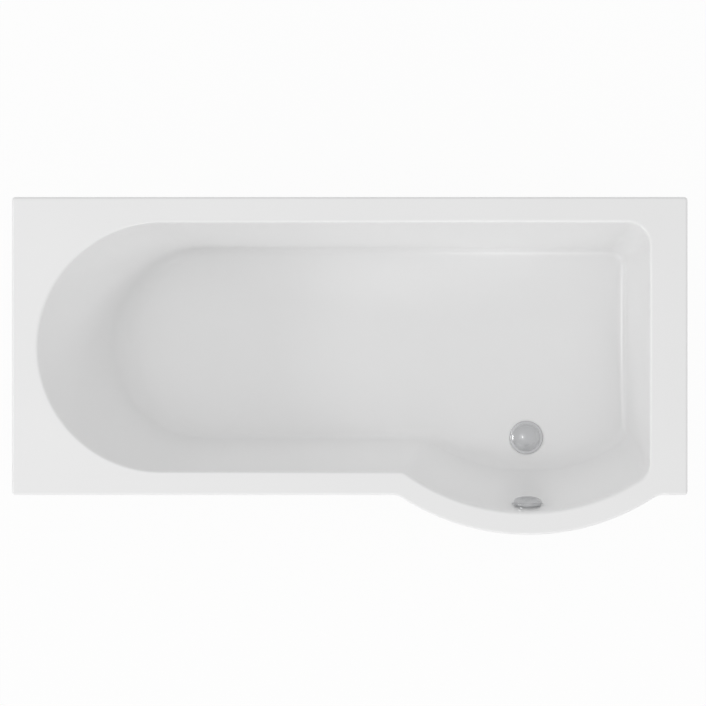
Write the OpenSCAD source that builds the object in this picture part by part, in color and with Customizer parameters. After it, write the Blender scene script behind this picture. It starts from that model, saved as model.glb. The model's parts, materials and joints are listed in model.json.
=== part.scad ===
// P shaped shower bath: a moulded acrylic tub with a bowed shower end, timber rim battens,
// a baseboard on steel rails with levelling legs, a pop-up waste and an overflow with its hose.
// Millimetres. Origin on the floor under the middle of the plan, +X to the shower end,
// +Y to the wall side, the bow towards -Y, +Z up.

/* [Overall] */
// Length over the rim
bath_len = 1700; // [1600:5:1800]
// Width over the straight part of the rim
straight_w = 750; // [720:5:800]
// How far the bow stands out past the straight front
bow_out = 100; // [80:5:120]
// Height of the rim above the floor
rim_h = 550; // [520:5:600]
// Depth of the well from the rim to the floor at the waste
well_depth = 395; // [340:5:410]
// Thickness of the moulded shell
shell_t = 6; // [4:0.5:8]

/* [Rim] */
// Radius of the bow's outer edge
bow_r = 586; // [560:2:640]
// Distance of the bow's centre from the shower end
bow_from_end = 402; // [380:2:430]
// Height of the turned-down rim edge
skirt_h = 38; // [32:1:50]
// Radius of the rim's outer edge
edge_r = 6; // [3:0.5:7]
// Plan radius of the rim's corners
corner_r = 9; // [8:0.5:14]
// Radius where the straight front turns into the bow
rim_joint_r = 40; // [20:5:80]
// Width of the rim at the back
rim_back_w = 64.5; // [54:0.5:70]
// Width of the rim at the straight front
rim_front_w = 59; // [54:1:70]
// Width of the rim round the bow
rim_bow_w = 57; // [54:1:66]
// Width of the rim at the sloping end
rim_head_w = 64; // [54:0.5:80]
// Width of the rim at the shower end
rim_foot_w = 95; // [70:1:110]
// Radius of the lip into the well
lip_r = 10; // [7:0.5:14]

/* [Well] */
// Plan radius of the mouth's back corner
mouth_corner_r = 58; // [40:2:90]
// Plan radius of the mouth's corner beside the bow
mouth_bow_corner_r = 50; // [35:1:60]
// Radius where the mouth's front turns into the bow
mouth_joint_r = 30; // [20:2:60]
// Slope of the back wall, as a distance in plan
back_run = 64; // [50:2:90]
// Slope of the straight front wall, as a distance in plan
front_run = 82; // [60:1:90]
// Slope of the bow's wall, as a distance in plan
bow_run = 104; // [90:2:120]
// Slope of the shower end's wall, as a distance in plan
foot_run = 54; // [44:2:90]
// Slope of the backrest, as a distance in plan
head_run = 207; // [160:5:240]
// Length of the floor's rounded head end
head_round = 220; // [180:5:240]
// Plan radius of the floor's back corner
floor_corner_r = 40; // [30:2:60]
// Radius between the walls and the floor
foot_r = 32; // [24:1:40]
// Radius between the backrest and the floor
backrest_r = 80; // [50:5:110]
// Fall of the floor towards the waste, over the length of the well
floor_fall = 5; // [2:0.5:8]

/* [Waste] */
// Distance of the waste from the straight front of the rim
waste_from_front = 143; // [135:1:150]
// Diameter of the waste hole
waste_hole_d = 52; // [50:0.5:54]
// Diameter of the chrome flange
flange_d = 84; // [80:1:90]
// Diameter of the domed plug
plug_d = 70; // [64:1:74]
// Height of the plug's dome
dome_h = 9; // [6:0.5:12]
// Lift of the plug
plug_lift = 10; // [6:1:12]
// Outside diameter of the waste's threaded tail
tail_d = 47.8; // [40:0.1:50]
// Length of the waste's threaded tail
tail_len = 30; // [20:1:36]

/* [Overflow] */
// Depth of the overflow's centre below the rim
overflow_drop = 66; // [60:2:90]
// Diameter of the overflow knob
knob_d = 70; // [60:1:74]
// Thickness of the overflow knob
knob_t = 11; // [8:0.5:14]
// Diameter of the overflow hole
overflow_hole_d = 54; // [50:0.5:58]
// Outside diameter of the overflow hose
hose_d = 28; // [24:1:30]
// Bore of the overflow hose
hose_bore = 21; // [18:0.5:22]
// Distance between the hose's ribs
rib_pitch = 5; // [4:0.5:8]
// Diameter of the control cable
cable_d = 5; // [4:0.5:6]

/* [Support] */
// Thickness of the baseboard
board_t = 18; // [12:1:22]
// Width of a steel rail
rail_w = 30; // [28:1:40]
// Height of a steel rail
rail_h = 25; // [20:1:30]
// Thickness of the rail's steel
rail_t = 2; // [1.5:0.5:3]
// Diameter of a leg's threaded stud
stud_d = 10; // [8:1:12]
// Diameter of a foot
foot_d = 50; // [40:1:60]
// Height of a foot
foot_h = 30; // [24:1:36]
// Width of a rim batten
batten_w = 34; // [28:1:36]
// Distance of the head rail from the sloping end
head_rail_at = 450; // [400:10:520]
// Distance of the foot rail from the shower end
foot_rail_at = 260; // [220:5:290]
// Distance between the middles of the wall brackets
bracket_gap = 1000; // [600:50:1200]

/* [Hidden] */
$fn = 96;

// Named clearances
fit = 0.05;         // running and threaded fits, on the radius
seat_gap = 0.3;     // between pieces that move past each other
cut = 1;            // how far a cut runs past the face it opens

// Plan of the rim
half_len = bath_len / 2;
back_y = (straight_w + bow_out) / 2;
front_y = back_y - straight_w;
bow_x = half_len - bow_from_end;
bow_y = front_y - bow_out + bow_r;
bow_c = [bow_x, bow_y];

// Plan of the mouth and of the floor
mouth_back = back_y - rim_back_w;
mouth_front = front_y + rim_front_w;
mouth_right = half_len - rim_foot_w;
mouth_bow_r = bow_r - rim_bow_w;
mouth_round = (mouth_back - mouth_front) / 2;
mouth_head_x = -half_len + rim_head_w + mouth_round;
floor_back = mouth_back - back_run;
floor_front = mouth_front + front_run;
floor_right = mouth_right - foot_run;
floor_bow_r = mouth_bow_r - bow_run;
floor_head_x = -half_len + rim_head_w + head_run + head_round;
floor_bow_corner_r = mouth_bow_corner_r * 0.9;
floor_joint_r = mouth_joint_r * 1.5;

// Heights
floor_z = rim_h - well_depth;
laminate_t = shell_t + 2;
under_z = floor_z - laminate_t;
board_z = under_z - board_t;
skirt_z = rim_h - skirt_h;

// Steps round the outline, stretch by stretch
N_FRONT = 6;
N_JOINT = 5;
N_BOW = 12;
N_CORNER = 8;
N_END = 5;
N_BACK = 8;
N_SIDE = 7;
N_TURN = 3;
N_HEAD = 12;
N_ROUND = 2 * (N_SIDE + N_TURN) + N_HEAD;

// Points of an arc or a line without its last point, which starts the next stretch
function arc(c, r, a, b, n) = [for (k = [0:n - 1]) let (t = a + (b - a) * k / n) c + r * [cos(t), sin(t)]];
function line(p, q, n) = [for (k = [0:n - 1]) p + (q - p) * k / n];
// Points of an arc with its last point
function whole_arc(c, r, a, b, n) =
    [for (k = [0:n - 1]) let (t = a + (b - a) * k / (n - 1)) c + r * [cos(t), sin(t)]];

// Outline of the well at one level, anticlockwise from the front's head end
function well_loop(right, back, front, r_bow, head_x, r_head, r_back, r_side, r_joint) =
    let (
        joint_y = front - r_joint,
        joint_x = bow_x - sqrt(pow(r_bow + r_joint, 2) - pow(bow_y - joint_y, 2)),
        joint_a = atan2(bow_y - joint_y, bow_x - joint_x),
        side_x = right - r_side,
        side_y = bow_y - sqrt(pow(r_bow - r_side, 2) - pow(side_x - bow_x, 2)),
        side_a = atan2(side_y - bow_y, side_x - bow_x),
        head_y = (back + front) / 2,
        half_w = (back - front) / 2
    )
    concat(
        line([head_x, front], [joint_x, front], N_FRONT),
        arc([joint_x, joint_y], r_joint, 90, joint_a, N_JOINT),
        arc(bow_c, r_bow, joint_a - 180, -90, N_BOW),
        arc(bow_c, r_bow, -90, side_a, N_BOW),
        arc([side_x, side_y], r_side, side_a, 0, N_CORNER),
        line([right, side_y], [right, back - r_back], N_END),
        arc([right - r_back, back - r_back], r_back, 0, 90, N_CORNER),
        line([right - r_back, back], [head_x, back], N_BACK),
        [for (k = [0:N_ROUND - 1])
            let (t = 90 + 180 * k / N_ROUND)
            [head_x + r_head * cos(t), head_y + half_w * sin(t)]]
    );

// Outline of the rim, drawn in by a distance, with the same steps as the well's
function rim_loop(inset) =
    let (
        right = half_len - inset,
        back = back_y - inset,
        front = front_y + inset,
        r_bow = bow_r - inset,
        r_joint = rim_joint_r + inset,
        r_corner = corner_r - inset,
        joint_y = front - r_joint,
        joint_dx = sqrt(pow(r_bow + r_joint, 2) - pow(bow_y - joint_y, 2)),
        joint_a = atan2(bow_y - joint_y, joint_dx)
    )
    concat(
        line([mouth_head_x, front], [bow_x - joint_dx, front], N_FRONT),
        arc([bow_x - joint_dx, joint_y], r_joint, 90, joint_a, N_JOINT),
        arc(bow_c, r_bow, joint_a - 180, -90, N_BOW),
        arc(bow_c, r_bow, -90, -joint_a, N_BOW),
        whole_arc([bow_x + joint_dx, joint_y], r_joint, 180 - joint_a, 90, N_CORNER / 2),
        arc([right - r_corner, front + r_corner], r_corner, -90, 0, N_CORNER / 2),
        line([right, front + r_corner], [right, back - r_corner], N_END),
        arc([right - r_corner, back - r_corner], r_corner, 0, 90, N_CORNER),
        line([right - r_corner, back], [mouth_head_x, back], N_BACK),
        line([mouth_head_x, back], [-right + r_corner, back], N_SIDE),
        arc([-right + r_corner, back - r_corner], r_corner, 90, 180, N_TURN),
        line([-right, back - r_corner], [-right, front + r_corner], N_HEAD),
        arc([-right + r_corner, front + r_corner], r_corner, 180, 270, N_TURN),
        line([-right + r_corner, front], [mouth_head_x, front], N_SIDE)
    );

mouth = well_loop(mouth_right, mouth_back, mouth_front, mouth_bow_r, mouth_head_x, mouth_round,
    mouth_corner_r, mouth_bow_corner_r, mouth_joint_r);
floor_edge = well_loop(floor_right, floor_back, floor_front, floor_bow_r, floor_head_x, head_round,
    floor_corner_r, floor_bow_corner_r, floor_joint_r);
N = len(mouth);

// Waste
waste_x = bow_x;
waste_y = front_y + waste_from_front;
waste_at = [waste_x, waste_y];

// Height of the sloping floor at a point of the plan
fall_slope = floor_fall / (floor_right - floor_head_x);
function floor_at(p) = floor_z + fall_slope * (waste_x - p.x + (p.y - waste_y) / 2);

// Share of the backrest at one point of the outline: 0 along the sides, 1 at the middle of the head end
function headness(i) = i < N - N_ROUND ? 0 : sin(180 * (i - N + N_ROUND) / N_ROUND);

// One upright section through the lip, the wall and the foot, as points from the rim to the floor
function section(i, d1, z1, z2, r1, r2, n1, n2) =
    let (
        m = mouth[i],
        run = norm(floor_edge[i] - m),
        dir = (floor_edge[i] - m) / run,
        slope = atan2(rim_h - floor_at(floor_edge[i]), run),
        d2 = d1 + (z1 - z2) / tan(slope),
        lip_d = d1 - r1 * tan(slope / 2),
        foot_d = d2 + r2 * tan(slope / 2)
    )
    concat(
        [for (k = [0:n1]) let (t = 90 - slope * k / n1, p = m + dir * (lip_d + r1 * cos(t)))
            [p.x, p.y, z1 - r1 + r1 * sin(t)]],
        [for (k = [0:n2]) let (t = 270 - slope + slope * k / n2, p = m + dir * (foot_d + r2 * cos(t)))
            [p.x, p.y, z2 + r2 + r2 * sin(t)]]
    );

N_LIP = 3;
N_FOOT = 5;
N_UNDER_LIP = 2;
function foot_radius(i) = foot_r + (backrest_r - foot_r) * headness(i);
function wall_slope(i) = atan2(rim_h - floor_at(floor_edge[i]), norm(floor_edge[i] - mouth[i]));
top_sections = [for (i = [0:N - 1])
    section(i, 0, rim_h, floor_at(floor_edge[i]), lip_r, foot_radius(i), N_LIP, N_FOOT)];
under_sections = [for (i = [0:N - 1])
    section(i, -shell_t * tan(wall_slope(i) / 2), rim_h - shell_t, under_z,
        lip_r - shell_t + fit, foot_radius(i) + shell_t, N_UNDER_LIP, N_FOOT)];

// Rings of the shell's skin, from the floor up the wall, over the rim, round the edge and back underneath
function raise(loop, z) = [for (p = loop) [p.x, p.y, z]];
function on_floor(p) = [p.x, p.y, floor_at(p)];
n_top = N_LIP + N_FOOT + 1;
n_under = N_UNDER_LIP + N_FOOT + 1;
N_EDGE = 3;
rings = concat(
    [[for (i = [0:N - 1]) on_floor(top_sections[i][n_top])]],
    [for (k = [n_top - 1:-1:0]) [for (i = [0:N - 1]) top_sections[i][k]]],
    [for (k = [N_EDGE:-1:0]) let (t = 90 * k / N_EDGE)
        raise(rim_loop(edge_r * (1 - cos(t))), rim_h - edge_r * (1 - sin(t)))],
    [raise(rim_loop(0), skirt_z)],
    [raise(rim_loop(shell_t - 1), skirt_z)],
    [raise(rim_loop(shell_t - 1), rim_h - shell_t)],
    [for (k = [0:n_under]) [for (i = [0:N - 1]) under_sections[i][k]]]
);

module skin(rings) {
    n = len(rings[0]);
    last = (len(rings) - 1) * n;
    polyhedron(
        points = [for (r = rings) each r],
        faces = concat(
            [[for (i = [n - 1:-1:0]) i]],
            [for (k = [0:len(rings) - 2], i = [0:n - 1])
                let (a = k * n + i, b = k * n + (i + 1) % n)
                each [[a, b, b + n], [a, b + n, a + n]]],
            [[for (i = [0:n - 1]) last + i]]
        ),
        convexity = 6
    );
}

// Overflow: its place on the bow's wall, where local +Z points into the well and local +Y down the wall
bow_apex_run = floor_bow_r - mouth_bow_r;
overflow_slope = atan2(rim_h - floor_at([bow_x, bow_y - floor_bow_r]), -bow_apex_run);
overflow_z = rim_h - overflow_drop;
overflow_y = bow_y - mouth_bow_r + overflow_drop / tan(overflow_slope);
module at_overflow() translate([bow_x, overflow_y, overflow_z]) rotate([-overflow_slope, 0, 0]) children();
function from_overflow(p) = [
    bow_x + p.x,
    overflow_y + p.y * cos(overflow_slope) + p.z * sin(overflow_slope),
    overflow_z - p.y * sin(overflow_slope) + p.z * cos(overflow_slope)
];
module at_waste(z) translate([waste_x, waste_y, z]) children();

// A disc or a tube from one height to another
module disc(r, z0, z1) translate([0, 0, z0]) cylinder(r = r, h = z1 - z0);
module tube(r, bore, z0, z1) difference() {
    disc(r, z0, z1);
    disc(bore, z0 - cut, z1 + cut);
}
// A block from one corner to the other
module block(a, b) translate(a) cube(b - a);
// A hexagon nut with a round bore
module hex_nut(across, bore, z0, z1) difference() {
    translate([0, 0, z0]) cylinder(d = across / cos(30), h = z1 - z0, $fn = 6);
    disc(bore, z0 - cut, z1 + cut);
}
// A screw with a round head under z0 and its shank up to z1
module screw(r, z0, z1, head_r, head_h) {
    disc(head_r, z0 - head_h, z0);
    disc(r, z0 - head_h / 2, z1);
}

/* Shell and timber */
seat_depth = 1;
seat_r = flange_d / 2 + 1;
waste_seat_z = floor_z - seat_depth;
overflow_seat_r = knob_d / 2 + 5;
overflow_pad_t = 3;

module bath_shell() color("white") difference() {
    union() {
        skin(rings);
        at_overflow() disc(overflow_seat_r, -shell_t, -shell_t + overflow_pad_t);
    }
    at_waste(waste_seat_z) cylinder(r = seat_r, h = 20);
    at_waste(under_z - 20) cylinder(d = waste_hole_d, h = 60);
    at_overflow() disc(overflow_seat_r, 0, 20);
    at_overflow() disc(overflow_hole_d / 2, -30, 30);
}

board_left = -half_len + head_rail_at - 45;
board_right = floor_right - 46;
board_back = floor_back - 28;
board_front = floor_front + 28;
board_notch_r = 62;
screw_r = 2.5;
screw_bore = screw_r + fit;
head_rail_x = -half_len + head_rail_at;
foot_rail_x = half_len - foot_rail_at;
rail_screw_y = [board_front + 40, 60, board_back - 30];
rail_screws_at = [for (x = [head_rail_x, foot_rail_x], y = rail_screw_y) [x, y]];
centre_x = (head_rail_x + foot_rail_x) / 2;
centre_y = (board_front + board_back) / 2;
plate_len = 90;
plate_w = 60;
plate_screws_at = [for (sx = [-1, 1], sy = [-1, 1])
    [centre_x + sx * (plate_len / 2 - 12), centre_y + sy * (plate_w / 2 - 12)]];
board_bite = 13;

module baseboard() color("burlywood") difference() {
    block([board_left, board_front, board_z], [board_right, board_back, under_z]);
    at_waste(board_z - cut) cylinder(r = board_notch_r, h = board_t + 2 * cut);
    for (p = concat(rail_screws_at, plate_screws_at))
        translate([p.x, p.y, board_z - cut]) cylinder(r = screw_bore, h = board_bite + cut + fit);
}

rim_under = rim_h - shell_t;
batten_gap = 2;
batten_in = shell_t - 1 + batten_gap;
batten_z = skirt_z;
batten_end = 12;
bracket_t = 2;
bracket_w = 40;
bracket_reach = 30;
bracket_drop = 42;
bracket_screw_r = 2;
bracket_x = [-bracket_gap / 2, bracket_gap / 2];
bracket_screw_y = back_y - batten_in - batten_w / 2;
bracket_screws_at = [for (x = bracket_x, s = [-1, 1]) [x + s * 12, bracket_screw_y]];
batten_bite = 14;

module batten_back() color("tan") difference() {
    block([-half_len + batten_in + batten_end, back_y - batten_in - batten_w, batten_z],
        [half_len - batten_in - batten_end, back_y - batten_in, rim_under]);
    for (p = bracket_screws_at)
        translate([p.x, p.y, batten_z - cut]) cylinder(r = bracket_screw_r + fit, h = batten_bite + cut + fit);
}
batten_front_end = bow_x - sqrt(pow(bow_r + rim_joint_r, 2) - pow(bow_y - front_y + rim_joint_r, 2)) - batten_end;
module batten_front() color("tan")
    block([-half_len + batten_in + batten_w + batten_end, front_y + batten_in, batten_z],
        [batten_front_end, front_y + batten_in + batten_w, rim_under]);
end_batten_back = back_y - batten_in - batten_w - batten_gap;
module batten_head() color("tan")
    block([-half_len + batten_in, front_y + batten_in, batten_z],
        [-half_len + batten_in + batten_w, end_batten_back, rim_under]);
module batten_foot() color("tan")
    block([half_len - batten_in - batten_w, front_y + batten_in, batten_z],
        [half_len - batten_in, end_batten_back, rim_under]);
bow_batten_angle = 32;
module batten_bow() color("tan")
    translate([bow_x, bow_y, batten_z]) rotate([0, 0, -90 - bow_batten_angle])
    rotate_extrude(angle = 2 * bow_batten_angle)
    translate([bow_r - batten_in - batten_w, 0]) square([batten_w, rim_under - batten_z]);

/* Rails, legs and brackets */
leg_out = 47;
leg_front_head = floor_front - leg_out;
leg_front_foot = bow_y - sqrt(pow(floor_bow_r, 2) - pow(foot_rail_x - bow_x, 2)) - leg_out;
leg_back = floor_back + leg_out - 10;
rail_end = 22;
legs_at = [[head_rail_x, leg_front_head], [head_rail_x, leg_back], [foot_rail_x, leg_front_foot],
    [foot_rail_x, leg_back], [centre_x, centre_y]];
stud_r = stud_d / 2;
stud_foot_z = 10;
nut_across = stud_d * 1.7;
nut_h = stud_d * 0.8;
rail_hole_r = stud_r + 0.5;
leg_top_z = board_z + nut_h + 26;
sleeve_len = 46;
sleeve_r = stud_r + 4;
plate_t = 3;
centre_leg_top_z = board_z - 19;

module rail(x, front) color("lightslategray") difference() {
    block([x - rail_w / 2, front - rail_end, board_z - rail_h], [x + rail_w / 2, leg_back + rail_end, board_z]);
    block([x - rail_w / 2 + rail_t, front - rail_end - cut, board_z - rail_h - cut],
        [x + rail_w / 2 - rail_t, leg_back + rail_end + cut, board_z - rail_t]);
    for (y = [front, leg_back])
        translate([x, y, board_z - rail_t - cut]) cylinder(r = rail_hole_r, h = rail_t + 2 * cut);
    for (y = rail_screw_y)
        translate([x, y, board_z - rail_t - cut]) cylinder(r = screw_bore, h = rail_t + 2 * cut);
}
module rail_head() rail(head_rail_x, leg_front_head);
module rail_foot() rail(foot_rail_x, leg_front_foot);
module rail_screws() color("silver") for (p = rail_screws_at)
    translate([p.x, p.y, 0]) screw(screw_r, board_z - rail_t, board_z + board_bite, screw_r * 2, screw_r);

module centre_leg_plate() color("lightslategray") difference() {
    union() {
        block([centre_x - plate_len / 2, centre_y - plate_w / 2, board_z - plate_t],
            [centre_x + plate_len / 2, centre_y + plate_w / 2, board_z]);
        translate([centre_x, centre_y, 0]) disc(sleeve_r, board_z - sleeve_len, board_z - plate_t / 2);
    }
    translate([centre_x, centre_y, 0]) disc(stud_r + fit, board_z - sleeve_len - cut, board_z + cut);
    for (p = plate_screws_at)
        translate([p.x, p.y, 0]) disc(screw_bore, board_z - plate_t - cut, board_z + cut);
}
module plate_screws() color("silver") for (p = plate_screws_at)
    translate([p.x, p.y, 0]) screw(screw_r, board_z - plate_t, board_z + board_bite, screw_r * 2, screw_r);

module leg_stud(i) color("silver")
    translate([legs_at[i].x, legs_at[i].y, 0]) disc(stud_r, stud_foot_z, i < 4 ? leg_top_z : centre_leg_top_z);
module foot(i) color("dimgray") translate([legs_at[i].x, legs_at[i].y, 0]) difference() {
    rotate_extrude() polygon([[0, 0], [foot_d / 2 - 1, 0], [foot_d / 2, 1], [foot_d / 2, 6],
        [foot_d / 2 - 4, 9], [stud_r + 7, 14], [stud_r + 5, foot_h - 1], [stud_r + 4, foot_h], [0, foot_h]]);
    disc(stud_r, stud_foot_z, foot_h + cut);
}
module upper_leg_nuts() color("silver") for (i = [0:3])
    translate([legs_at[i].x, legs_at[i].y, 0]) hex_nut(nut_across, stud_r + fit, board_z, board_z + nut_h);
module lower_leg_nuts() color("silver") for (i = [0:4]) {
    top = i < 4 ? board_z - rail_t : board_z - sleeve_len;
    translate([legs_at[i].x, legs_at[i].y, 0]) hex_nut(nut_across, stud_r + fit, top - nut_h, top);
}

wall_hole_r = 3;
wall_hole_z = batten_z - 26;
module wall_bracket(x) color("lightslategray") difference() {
    union() {
        block([x - bracket_w / 2, back_y - bracket_reach, batten_z - bracket_t], [x + bracket_w / 2, back_y, batten_z]);
        block([x - bracket_w / 2, back_y - bracket_t, batten_z - bracket_drop],
            [x + bracket_w / 2, back_y, batten_z - bracket_t / 2]);
    }
    for (s = [-1, 1])
        translate([x + s * 12, bracket_screw_y, batten_z - bracket_t - cut])
            cylinder(r = bracket_screw_r + fit, h = bracket_t + 2 * cut);
    translate([x, back_y + cut, wall_hole_z]) rotate([90, 0, 0]) cylinder(r = wall_hole_r, h = bracket_t + 2 * cut);
}
module bracket_screws() color("silver") for (p = bracket_screws_at)
    translate([p.x, p.y, 0])
        screw(bracket_screw_r, batten_z - bracket_t, batten_z + batten_bite, bracket_screw_r * 2, bracket_screw_r);

/* Waste, heights from the seat in the shell downwards */
flange_r = flange_d / 2;
gasket_t = 1.5;
lip_t = 2;
lip_z = waste_seat_z + gasket_t;
flange_top_z = lip_z + lip_t;
tail_r_in = waste_hole_d / 2 - 4.5;
tail_r_out = waste_hole_d / 2 - 2;
lower_gasket_t = 3;
body_top_z = under_z - lower_gasket_t;
body_flange_t = 4;
flange_tail_z = body_top_z - 18;
chamber_r = tail_r_out + 2;
chamber_wall = 3;
chamber_z = body_top_z - 60;
thread_r = tail_d / 2;
way_r = thread_r - 3.5;
stem_r = 4;
boss_r = 7;
boss_z = body_top_z - 16;
boss_top_z = body_top_z + 4;
spigot_z = body_top_z - 39;
spigot_r = hose_bore / 2;
spigot_way = spigot_r - 2;
spigot_end = 55;

grid_z = boss_z + 4;
grid_t = 3;
grid_holes = 6;
grid_hole_r = 4.6;
grid_ring_r = (boss_r + tail_r_in) / 2;
module waste_flange() color("silver") at_waste(0) difference() {
    union() {
        rotate_extrude() polygon([
            [flange_r - 0.7, flange_top_z], [flange_r, flange_top_z - 0.7], [flange_r, lip_z],
            [tail_r_out, lip_z], [tail_r_out, flange_tail_z], [tail_r_in, flange_tail_z],
            [tail_r_in, lip_z - lip_t / 2], [tail_r_out + 1, lip_z + lip_t * 0.4], [flange_r - 9, flange_top_z]
        ]);
        disc((tail_r_in + tail_r_out) / 2, grid_z, grid_z + grid_t);
        disc(boss_r, boss_z, boss_top_z);
    }
    disc(stem_r + fit, boss_z - cut, boss_top_z + cut);
    for (k = [0:grid_holes - 1])
        rotate([0, 0, 360 * (k + 0.5) / grid_holes])
            translate([grid_ring_r, 0, 0]) disc(grid_hole_r, grid_z - cut, grid_z + grid_t + cut);
}
module flange_gasket() color("whitesmoke") at_waste(0) tube(flange_r - 1, tail_r_out + fit, waste_seat_z, lip_z);
module waste_gasket() color("dimgray") at_waste(0) tube(flange_r - 2, tail_r_out + 1, body_top_z, under_z);

// The lever under the plug's stem tips in a pocket on the side of the waste's body
lever_len = 27;
lever_swing = 2 * asin(plug_lift / 2 / lever_len);
lever_r = 3;
lever_w = 6;
pin_r = 1.5;
pocket_in = 4.4;
pocket_wall = 2.5;
pocket_x = lever_len + lever_r + seat_gap + 1;
pivot_z = spigot_z + 12;
stem_bottom_z = pivot_z - plug_lift / 2 + lever_r + seat_gap;
pocket_low = pivot_z - 12;
pocket_high = pivot_z + 9;
cable_bore = cable_d / 2;
cable_nozzle_r = cable_bore + 2;
cable_nozzle_end = chamber_r + chamber_wall + 8;
cable_x = pocket_x - cable_nozzle_r - 1;
cable_z = pocket_low + cable_nozzle_r;

module waste_body() color("gainsboro") at_waste(0) difference() {
    union() {
        disc(flange_r - 2, body_top_z - body_flange_t, body_top_z);
        disc(chamber_r + chamber_wall, chamber_z, body_top_z - body_flange_t / 2);
        disc(thread_r, chamber_z - tail_len, chamber_z + cut);
        translate([0, 0, spigot_z]) rotate([90, 0, 0]) cylinder(r = spigot_r, h = spigot_end);
        block([chamber_r - 8, -pocket_in - pocket_wall, pocket_low - pocket_wall],
            [pocket_x + pocket_wall, pocket_in + pocket_wall, pocket_high + pocket_wall]);
        translate([cable_x, 0, cable_z]) rotate([90, 0, 0]) cylinder(r = cable_nozzle_r, h = cable_nozzle_end);
    }
    disc(tail_r_out + fit, flange_tail_z - fit, body_top_z + cut);
    disc(chamber_r, chamber_z + 3, flange_tail_z);
    disc(way_r, chamber_z - tail_len - cut, chamber_z + 4);
    translate([0, 0, spigot_z]) rotate([90, 0, 0]) cylinder(r = spigot_way, h = spigot_end + cut);
    block([0, -pocket_in, pocket_low], [pocket_x, pocket_in, pocket_high]);
    translate([lever_len, 0, pivot_z]) rotate([90, 0, 0])
        cylinder(r = pin_r + fit / 2, h = 4 * (pocket_in + pocket_wall), center = true);
    translate([cable_x, 0, cable_z]) rotate([90, 0, 0]) cylinder(r = cable_bore - 0.5, h = cable_nozzle_end + cut);
    translate([cable_x, -cable_nozzle_end + 8, cable_z]) rotate([90, 0, 0])
        cylinder(r = cable_bore + fit, h = cable_nozzle_end);
}
// A nut screwed on a spigot that ends at a given place, with a pocket for the hose's end
nut_grip = 12;
nut_pocket = 9;
module hose_nut(end) difference() {
    disc(hose_d / 2 + 2.5, end - nut_grip, end + nut_pocket);
    disc(spigot_r + fit, end - nut_grip - cut, end + cut);
    disc(hose_d / 2 + seat_gap, end, end + nut_pocket + cut);
}
module waste_hose_nut() color("gainsboro") at_waste(spigot_z) rotate([90, 0, 0]) hose_nut(spigot_end);

module waste_lever() color("whitesmoke") at_waste(pivot_z)
    translate([lever_len, 0, 0]) rotate([0, -lever_swing / 2, 0]) rotate([90, 0, 0])
    difference() {
        union() {
            cylinder(r = lever_r, h = lever_w, center = true);
            translate([-lever_len, 0, 0]) cylinder(r = lever_r, h = lever_w, center = true);
            translate([-lever_len / 2, 0, 0]) cube([lever_len, lever_r * 1.4, lever_w], center = true);
        }
        cylinder(r = pin_r + fit, h = 2 * lever_w, center = true);
    }
module lever_pin() color("silver") at_waste(pivot_z) translate([lever_len, 0, 0]) rotate([90, 0, 0])
    cylinder(r = pin_r, h = 2 * (pocket_in + pocket_wall), center = true);

// Plug: a spherical dome with a turned-down edge, over a flat underside with the seal's groove
plug_r = plug_d / 2;
plug_z = flange_top_z + seat_gap;
plug_edge = 2.5;
dome_r = (pow(plug_r, 2) + pow(dome_h - plug_edge, 2)) / (2 * (dome_h - plug_edge));
N_DOME = 12;
dome_a = asin(plug_r / dome_r);
seal_out = plug_r - 2;
seal_in = seal_out - 5;
seal_depth = 1.5;
module plug() color("silver") at_waste(0) union() {
    rotate_extrude() polygon(concat(
        [[0, plug_z + 1], [seal_in - fit, plug_z + 1], [seal_in - fit, plug_z + 1 + seal_depth],
            [seal_out + fit, plug_z + 1 + seal_depth], [seal_out + fit, plug_z + 1], [plug_r - 0.5, plug_z + 1]],
        [for (k = [0:N_DOME]) let (t = dome_a * (1 - k / N_DOME))
            [dome_r * sin(t), plug_z + dome_h - dome_r + dome_r * cos(t)]]
    ));
    disc(stem_r, stem_bottom_z, plug_z + 2);
}
module plug_seal() color("dimgray") at_waste(0) tube(seal_out, seal_in, plug_z, plug_z + 1 + seal_depth - fit);

/* Overflow, along its own axis: 0 is the shell's face inside the well */
rear_gasket_t = 3;
face_r = overflow_hole_d / 2 + 4;
face_t = 2.5;
knob_gap = 1.5;
knob_z = face_t + knob_gap;
knob_wall = 3;
body_front = -shell_t - rear_gasket_t;
body_flange_r = overflow_hole_d / 2 + 10;
cup_wall = 2.5;
cup_r = overflow_hole_d / 2 + 2;
cup_back = body_front - 30;
spindle_r = 5;
crank_r = 11;
crank_t = 6;
water_hole_r = 4.5;
water_ring_r = overflow_hole_d / 2 - 9;
overflow_screw_r = 2;
post_r = 4.5;
overflow_spigot_z = (body_front + cup_back) / 2 - 3;
overflow_spigot_end = cup_r + 24;
overflow_cable_x = 22;
overflow_cable_end = cup_r + 12;

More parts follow.
